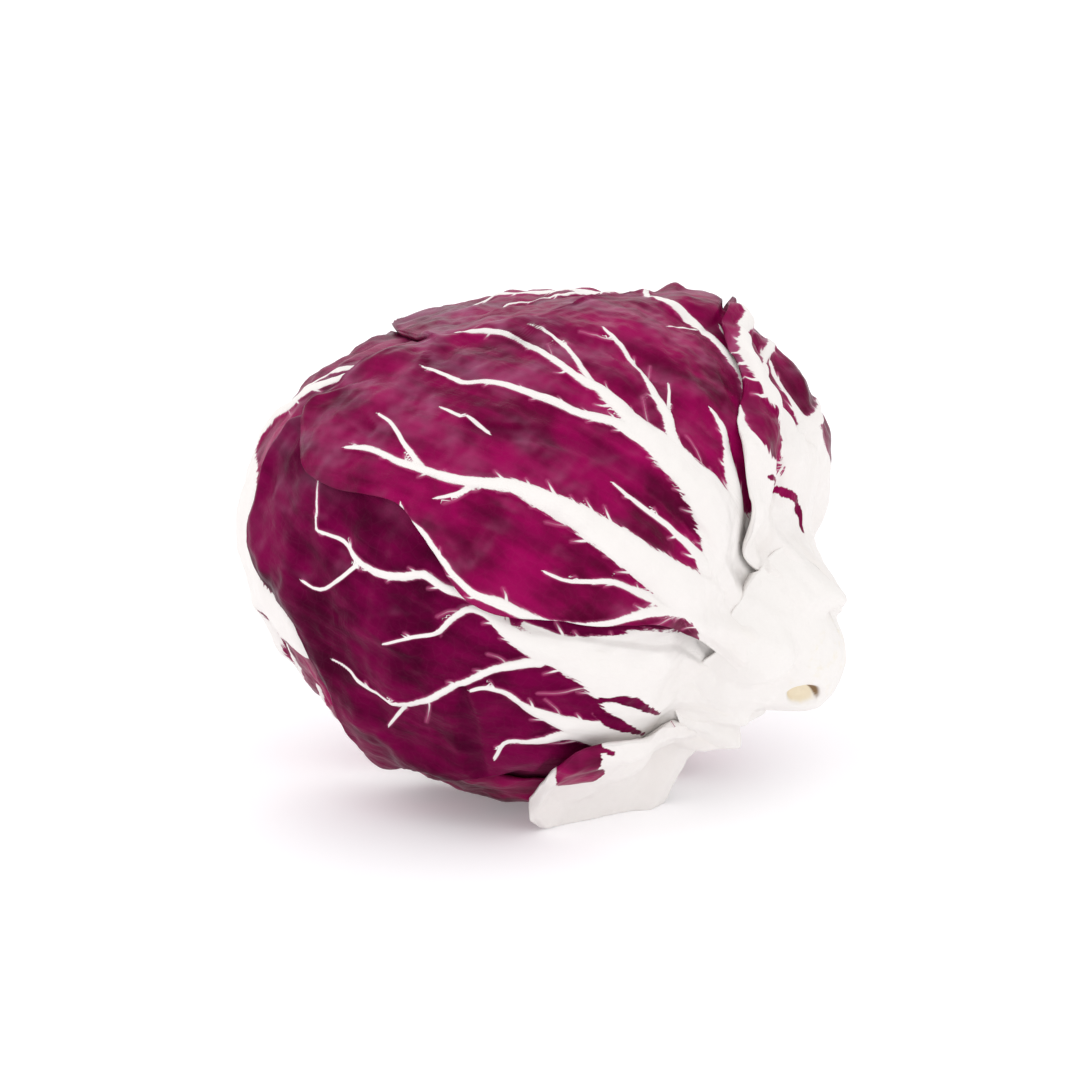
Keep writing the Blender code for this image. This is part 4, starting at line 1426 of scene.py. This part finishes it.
@dataclass(frozen=True)
class SheenAndPaleRim:
    """Painted sheen: lilac where the blade faces up to the light, and a little along the margin."""

    facing: Triple = (-0.25, -0.20, 0.95)
    facing_from: float = 0.35
    facing_share: float = 0.42
    rim_width: float = 9.0
    rim_share: float = 0.08
    level: float = 0.55
    swing: float = 0.6
    waves: Pair = (8.0, 26.0)
    wave_count: int = 20

    def amount(self, d: np.ndarray, outer: np.ndarray, margin: np.ndarray,
               seed: int) -> np.ndarray:
        """Give how much painted sheen, with the paler margin, lies on a leaf.

        Args:
            d: The grid's directions.
            outer: The outer face's radii.
            margin: Distances inside the margin.
            seed: Which slow random field breaks it up.

        Returns:
            A share from 0 to 1, by the grid's own normals.
        """
        places = outer[..., None] * d
        normal = np.cross(np.gradient(places, axis=0), np.gradient(places, axis=1))
        normal /= np.maximum(np.linalg.norm(normal, axis=2, keepdims=True), 1e-9)
        normal *= np.sign((normal * d).sum(axis=2, keepdims=True))
        # painted sheen: the share grows where the grid's normal turns towards the light above
        turned = (normal @ np.array(self.facing) - self.facing_from) / (1.0 - self.facing_from)
        slow = self.level + self.swing * wave_field(d, seed, *self.waves, self.wave_count)
        rim = self.rim_share * smoothstep(1.0 - margin / self.rim_width)
        share = self.facing_share * smoothstep(turned) + rim
        return np.clip(share * np.clip(slow, 0.0, 1.0), 0.0, 1.0)


@dataclass(frozen=True)
class BladeRelief:
    """A bare blade's relief: quilting between veins, swells, fine grain, flutes by the stem."""

    quilt: float = 0.65
    quilt_width: float = 7.0
    swell: float = 0.48
    swell_waves: Pair = (7.0, 20.0)
    grain: float = 0.13
    grain_waves: Pair = (2.4, 6.0)
    flute: float = 0.45
    flute_count: float = 3.0
    flute_from: float = 32.0
    flute_span: float = 30.0

    def height(self, form: LeafForm, along: np.ndarray, across: np.ndarray,
               broad: np.ndarray) -> np.ndarray:
        """Give the relief on a leaf's grid.

        Args:
            form: The leaf.
            along: The grid's angles along the leaf.
            across: The grid's angles across it.
            broad: Distances outside the broad veins.

        Returns:
            Heights in millimetres.
        """
        d = form.direction(along, across)
        left, right = form.margins(along)
        part = (across - left) / np.maximum(right - left, 0.5)
        flutes = np.cos(2.0 * math.pi * self.flute_count * part + form.seed)
        near_stem = smoothstep(1.0 - (HEAD.from_stem(d) - self.flute_from) / self.flute_span)
        swell = self.swell * wave_field(d, form.seed, *self.swell_waves, FIELD_WAVES)
        grain = self.grain * wave_field(d, form.seed + 50, *self.grain_waves, FIELD_WAVES)
        quilt = self.quilt * smoothstep(broad / self.quilt_width)
        return quilt + swell + grain + self.flute * flutes * near_stem


@dataclass
class LeafPiece:
    """One leaf's fine surface: blade, raised ribs and small veins in a single thin body."""

    stack: LeafStack
    order: int
    seen_half: float = 0.112
    ruled_half: float = 0.42
    ruled_height: float = 0.8
    vein_stand: float = 0.8
    fold_stand: float = -0.5
    edge_share: float = 0.4
    edge_width: float = 4.0
    rise_share: float = 0.3
    rise_width: float = 2.0
    floor_gap: float = 0.02
    thinnest: float = 0.3
    base_from: float = 21.0
    base_span: float = 10.0
    cream_from: float = 12.0
    cream_span: float = 18.0
    fray_half: float = 4.0
    least_fray: float = 0.12
    full_crease: float = 1.1
    relief: BladeRelief = field(default_factory=BladeRelief)
    sheen_and_rim: SheenAndPaleRim = field(default_factory=SheenAndPaleRim)

    @property
    def finish(self) -> LeafFinish:
        """The leaf's finish: the leaf low in front takes a darker copy, painted shade for its low
        place.
        """
        return SHADED_LOWER_FINISH if self.form is LOWER_LEAF else LeafFinish()

    @property
    def form(self) -> LeafForm:
        """The leaf's form."""
        return self.stack.leaves[self.order]

    def grid(self) -> tuple[np.ndarray, np.ndarray]:
        """Lay the leaf's grid: even rows from stem to tip, even columns between margins.

        Returns:
            Its angles along and across the leaf.
        """
        form = self.form
        along = np.linspace(form.along[0], form.along[-1], form.rows)
        left, right = form.margins(along)
        part = np.linspace(0.0, 1.0, form.columns)
        across = left[:, None] + (right - left)[:, None] * part
        return np.broadcast_to(along[:, None], across.shape).copy(), across

    def seen_line(self, vein: SeenVein, stand: float) -> VeinLine:
        """Lay a vein of the photograph on the leaf.

        Args:
            vein: The vein in pixels.
            stand: The share of the vein's height at which it is seen.

        Returns:
            The same vein in the leaf's own angles, its widths in millimetres.
        """
        points = np.asarray(vein.points, float)
        part = np.linspace(0.0, 1.0, len(points))
        height = vein.height[0] + (vein.height[1] - vein.height[0]) * part
        line = self.stack.seen_at(self.order, points[:, :2], stand * height)
        return VeinLine(line, points[:, 2] * self.seen_half, height, vein.teeth)

    def ruled_line(self, rib: Rib) -> VeinLine:
        """Lay a rib by rule on the leaf.

        Args:
            rib: The rib.

        Returns:
            Its vein, a little narrower and lower than the rib.
        """
        line = np.asarray(rib.line, float)
        part = np.linspace(0.0, 1.0, len(line))
        return VeinLine(line, rib.taper(rib.width, part) * self.ruled_half,
                        rib.taper(rib.height, part) * self.ruled_height)

    def veins(self, along: np.ndarray, across: np.ndarray) -> VeinMap:
        """Work out the leaf's vein map on its grid.

        Args:
            along: The grid's angles along the leaf.
            across: The grid's angles across it.

        Returns:
            The map with ribs, small veins and patches laid on it.
        """
        form = self.form
        chart = VeinMap(along, across)
        grower = VeinGrower(form.seed)
        ruled = form.ribs[form.ruled_from:] if form.seen else form.ribs
        lines = [self.seen_line(vein, self.vein_stand) for vein in form.seen]
        lines += [self.ruled_line(rib) for rib in ruled]
        for line in lines:
            chart.add(line)
            if line.teeth:
                for tooth in grower.teeth(line):
                    chart.segments(tooth)
        for vein in form.patches:
            chart.add_patch(self.seen_line(vein, self.vein_stand))
        return chart

    def creases(self, along: np.ndarray, across: np.ndarray) -> np.ndarray:
        """Give the depth of the leaf's creases.

        Args:
            along: The grid's angles along the leaf.
            across: The grid's angles across it.

        Returns:
            Depths in millimetres.
        """
        chart = VeinMap(along, across)
        for fold in self.form.folds:
            chart.add(self.seen_line(fold, self.fold_stand))
        return chart.rise

    def build(self) -> bpy.types.Object:
        """Build the leaf, dress it, and put it in place of its CAD nodes.

        Returns:
            The leaf's object.
        """
        form = self.form
        name = form.name
        along, across = self.grid()
        d = form.direction(along, across)
        chart = self.veins(along, across)
        crease = self.creases(along, across)
        margin = np.clip(form.inside(d), 0.0, None)
        inner = self.stack.inner(self.order, d)
        edge = self.edge_share + (1.0 - self.edge_share) * smoothstep(margin / self.edge_width)
        rise = self.rise_share + (1.0 - self.rise_share) * smoothstep(margin / self.rise_width)
        relief = self.relief.height(form, along, across, chart.broad)
        outer = inner + form.shell(d) * edge + chart.rise * rise - crease
        outer = outer + relief * self.stack.bare(self.order, d)
        outer = np.minimum(outer, HEAD.ground(d) - self.floor_gap)
        inner = np.minimum(inner, outer - self.thinnest)
        middle = HEAD.middle
        piece = Shell(name + "_surface", middle + inner[..., None] * d, middle + outer[..., None] * d)
        from_stem = HEAD.from_stem(d)
        base = smoothstep(1.0 - (from_stem - self.base_from) / self.base_span)
        layers = {
            "rib_edge": chart.broad - chart.far * base,
            "fray": np.clip(chart.stout / self.fray_half, self.least_fray, 1.0),
            "vein_side": chart.side,
            "vein_gap": chart.gap,
            "vein_half": chart.half,
            "patch_edge": chart.patch,
            # painted shade in the creases, darkest where they are deepest
            "hollow": smoothstep(crease / self.full_crease),
            # painted sheen where the blade faces the light above, with a paler margin
            "sheen_and_pale_rim": self.sheen_and_rim.amount(d, outer, margin, form.seed + 9),
            "to_stem": smoothstep(1.0 - (from_stem - self.cream_from) / self.cream_span),
        }
        for layer, values in layers.items():
            piece.carry(layer, values)
        scale = MM_PER_DEGREE / UV_SIDE
        piece.lay_uv(along * scale, across * scale)
        piece.mesh.materials.append(self.finish.build(name + "_finish"))
        nodes = [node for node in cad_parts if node.startswith(name)]
        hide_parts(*nodes)
        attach(piece.object, "root")
        log.info("%s: %d faces, in place of %s", name, len(piece.mesh.polygons), nodes)
        return piece.object


@dataclass
class HeartPiece:
    """The tight inner leaves: one folded core that shows between the large leaves' tips."""

    stack: LeafStack
    rows: int = 190
    columns: int = 300
    folds: int = 5
    spiral: float = 3.0
    depth: float = 0.7
    swell: float = 0.5
    swell_waves: Pair = (7.0, 20.0)
    grain: float = 0.14
    grain_waves: Pair = (2.4, 6.0)
    base_from: float = 24.0
    base_span: float = 14.0
    finish: LeafFinish = field(default_factory=LeafFinish)

    def build(self) -> bpy.types.Object:
        """Build the core in place of its node.

        Returns:
            The core's object: a ball whose radius is the head's, less spiral folds, and with
            a crumpled relief where no leaf covers it.
        """
        polar = np.linspace(0.001, math.pi - 0.001, self.rows)
        turn = np.linspace(0.0, 2.0 * math.pi, self.columns, endpoint=False)
        p, t = np.meshgrid(polar, turn, indexing="ij")
        ring = np.cos(t)[..., None] * HEAD.to_top + np.sin(t)[..., None] * HEAD.to_front
        d = np.cos(p)[..., None] * HEAD.to_stem + np.sin(p)[..., None] * ring
        fold = (0.5 + 0.5 * np.sin(self.folds * t + self.spiral * p)) * np.sin(p)
        relief = self.swell + self.swell * wave_field(d, 2, *self.swell_waves, FIELD_WAVES)
        relief += self.grain * wave_field(d, 4, *self.grain_waves, FIELD_WAVES)
        radius = HEAD.radius(d) - self.depth * fold + self.stack.bare(-1, d) * relief
        index = np.arange(radius.size).reshape(radius.shape)
        after = np.roll(index, -1, axis=1)
        faces = np.stack([after[:-1].ravel(), after[1:].ravel(), index[1:].ravel(),
                          index[:-1].ravel()], 1).tolist()
        faces += [index[0].tolist(), index[-1].tolist()[::-1]]
        points = (HEAD.middle + radius[..., None] * d).reshape(-1, 3)
        surface = Surface("heart_leaves", points, faces)
        base = smoothstep(1.0 - (np.degrees(p) - self.base_from) / self.base_span)
        nothing, far = np.zeros(fold.shape), np.full(fold.shape, VeinMap.far)
        # painted shade: the grooves between the folds are darkened; painted sheen: an even lilac
        # share over the heart
        layers = {"rib_edge": 1.5 + 4.0 * fold - far * base, "fray": nothing + 1.0,
                  "vein_side": far, "vein_gap": far, "vein_half": nothing, "patch_edge": far,
                  "hollow": 0.3 * fold, "sheen_and_pale_rim": nothing + 0.2, "to_stem": nothing}
        for name, values in layers.items():
            surface.carry(name, values)
        surface.lay_uv(p * MEAN_RADIUS / UV_SIDE, t * MEAN_RADIUS / UV_SIDE)
        surface.mesh.materials.append(self.finish.build("heart_finish"))
        core = surface.object
        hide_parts("heart")
        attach(core, "root")
        log.info("heart_leaves: %d faces", len(faces))
        return core


@dataclass
class StemPiece:
    """The cut stub, with the fleshy collar that joins it to the leaf bases.

    The rings are angles round the stub's middle, and the reaches are its profile's radii there.
    """

    stack: LeafStack
    turn: float = 118.0
    polar: float = 1.5
    rings: tuple[float, ...] = (0.0, 3.5, 6.0, 7.5, 9.5, 12.5, 18.0, 26.0)
    reaches: tuple[float, ...] = (67.2, 66.9, 65.8, 64.5, 62.2, 58.8, 53.5, 47.0)
    lean: float = 0.3
    skirt: float = 2.0
    skirt_span: float = 10.0
    sink: float = 2.0
    drape: float = 4.0
    blend: float = 5.0
    cut_height: float = 4.0
    wall: float = 0.4
    grain: float = 0.10
    grain_waves: Pair = (1.5, 5.0)
    hollow_turn: float = 103.0
    hollow_polar: float = 7.5
    hollow_radius: float = 2.5
    hollow_depth: float = 3.0
    # where the painted shadow in the hollow lies, set by the camera's axes
    crescent_shift: float = 0.014
    shadow_radius: float = 3.05
    crescent_blur: float = 0.6
    rows: int = 120
    columns: int = 160
    finish: StemFinish = field(default_factory=StemFinish)

    def cap(self) -> tuple[np.ndarray, np.ndarray, np.ndarray]:
        """Lay the grid round the stub's middle.

        Returns:
            The angles from the middle, the turns round it in radians, and the directions,
            whose rings run a little out of round.
        """
        p = np.linspace(0.02, self.rings[-1], self.rows)[:, None] * np.ones(self.columns)
        t = np.linspace(0.0, 2.0 * math.pi, self.columns)[None, :]
        middle = HEAD.direction(self.turn, self.polar)
        side = np.cross(middle, HEAD.to_top)
        side /= np.linalg.norm(side)
        wander = 0.05 * np.sin(3.0 * t + 0.6) + 0.03 * np.sin(7.0 * t)
        a = np.radians(p * (1.0 + wander * smoothstep(p / 8.0)))
        ring = np.cos(t)[..., None] * np.cross(side, middle) + np.sin(t)[..., None] * side
        return p, t, np.cos(a)[..., None] * middle + np.sin(a)[..., None] * ring

    def painted_shadow(self, d: np.ndarray, sunk: np.ndarray) -> np.ndarray:
        """Mark the painted shadow: a dark crescent at the hollow's upper right as the camera sees it.

        Args:
            d: The grid's directions.
            sunk: The hollow's share.

        Returns:
            The painted shadow's share: the hollow outside a circle that is shifted to the lower left.
        """
        right, up, _ = VIEW.axes
        spot = HEAD.direction(self.hollow_turn, self.hollow_polar)
        spot = spot - self.crescent_shift * (right + up)
        spot /= np.linalg.norm(spot)
        aside = np.arccos(np.clip(d @ spot, -1.0, 1.0)) * self.reaches[0]
        outside = smoothstep((aside - self.shadow_radius) / self.crescent_blur)
        return smoothstep(1.6 * sunk) * outside

    def build(self) -> bpy.types.Object:
        """Build the stub and collar in place of the node.

        Returns:
            The object: a cap round the stub's middle.  Its radius is the larger of the
            leaf bases' radius plus a thin skirt and the stub's smooth profile less a hollow.
        """
        p, t, d = self.cap()
        under = self.stack.inner(len(self.stack.leaves), d, self.drape)
        away = np.radians(HEAD.apart(d, self.hollow_turn, self.hollow_polar)) * self.reaches[0]
        sunk = smoothstep(1.5 - away / self.hollow_radius)
        profile = smooth_table(p / (1.0 + self.lean * np.cos(t)), self.rings, self.reaches)
        skirt = self.skirt * smoothstep((self.rings[-1] - p) / self.skirt_span) - self.sink
        collar = under + skirt
        joint = np.clip(1.0 - np.abs(collar - profile) / self.blend, 0.0, 1.0) ** 2
        outer = np.maximum(collar, profile) + self.blend * 0.25 * joint
        outer += self.grain * wave_field(d, 31, *self.grain_waves, FIELD_WAVES)
        outer -= self.hollow_depth * sunk
        outer[:, -1] = outer[:, 0]
        inner = np.minimum(under, outer) - self.wall
        middle = HEAD.middle
        piece = Shell("stem_stub", middle + inner[..., None] * d, middle + outer[..., None] * d)
        piece.carry("cut", smoothstep((profile - under - self.cut_height) / self.cut_height))
        piece.carry("sunk", sunk)
        # painted shadow on the hollow's upper wall
        piece.carry("painted_shadow", self.painted_shadow(d, sunk))
        piece.mesh.materials.append(self.finish.build("stem_finish"))
        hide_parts("stem")
        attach(piece.object, "root")
        log.info("stem_stub: %d faces", len(piece.mesh.polygons))
        return piece.object


# The studio

@dataclass(frozen=True)
class SoftLamp:
    """A square lamp that faces the head: its place and side in metres, its power in watts."""

    name: str
    place: Triple
    side: float
    power: float
    aim: Triple = (0.0, 0.0, 0.05)

    def build(self) -> None:
        """Add the lamp to the scene."""
        data = bpy.data.lights.new(self.name, "AREA")
        data.energy = self.power
        data.size = self.side
        lamp = bpy.data.objects.new(self.name, data)
        lamp.location = self.place
        towards = Vector(self.aim) - Vector(self.place)
        lamp.rotation_euler = towards.to_track_quat("-Z", "Y").to_euler()
        bpy.context.scene.collection.objects.link(lamp)


@dataclass(frozen=True)
class Studio:
    """A pale floor, a bright even surround and three soft lamps."""

    floor_side: float = 6.0
    floor_colour: Triple = (0.90, 0.895, 0.91)
    floor_roughness: float = 0.8
    floor_glow: float = 0.22
    surround: Triple = (1.0, 1.0, 1.0)
    surround_power: float = 0.98
    lamps: tuple[SoftLamp, ...] = (
        SoftLamp("key_lamp", (-0.35, -0.45, 0.75), 0.6, 1.3),
        SoftLamp("fill_lamp", (0.75, -0.55, 0.45), 0.6, 0.6),
        SoftLamp("back_lamp", (-0.25, 0.7, 0.6), 0.5, 0.8),
    )

    def build(self) -> None:
        """Build the floor, the surround, the lamps and the camera."""
        half = self.floor_side / 2.0
        mesh = bpy.data.meshes.new("floor")
        mesh.from_pydata([(-half, -half, 0.0), (half, -half, 0.0), (half, half, 0.0),
                          (-half, half, 0.0)], [], [(0, 1, 2, 3)])
        floor = bpy.data.objects.new("floor", mesh)
        bpy.context.scene.collection.objects.link(floor)
        paint = bpy.data.materials.new("floor_paint")
        paint.use_nodes = True
        shader = paint.node_tree.nodes["Principled BSDF"]
        shader.inputs["Base Color"].default_value = (*self.floor_colour, 1.0)
        shader.inputs["Roughness"].default_value = self.floor_roughness
        shader.inputs["Emission Color"].default_value = (*self.floor_colour, 1.0)
        shader.inputs["Emission Strength"].default_value = self.floor_glow
        mesh.materials.append(paint)
        world = bpy.data.worlds.new("surround")
        world.use_nodes = True
        sky = world.node_tree.nodes["Background"]
        sky.inputs["Color"].default_value = (*self.surround, 1.0)
        sky.inputs["Strength"].default_value = self.surround_power
        bpy.context.scene.world = world
        for lamp in self.lamps:
            lamp.build()
        VIEW.make_camera()
        bpy.context.scene.view_settings.view_transform = "Standard"


class RadicchioHead:
    """The whole head: core, stub and leaves from the inside out."""

    def build(self) -> None:
        """Build every piece in order."""
        stack = LeafStack(LEAVES)
        HeartPiece(stack).build()
        for order in range(len(LEAVES)):
            LeafPiece(stack, order).build()
        StemPiece(stack).build()


def main() -> None:
    """Build the head and the studio."""
    logging.basicConfig(level=logging.INFO, format="%(name)s: %(message)s")
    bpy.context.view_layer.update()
    RadicchioHead().build()
    Studio().build()


if __name__ == "__main__":
    main()
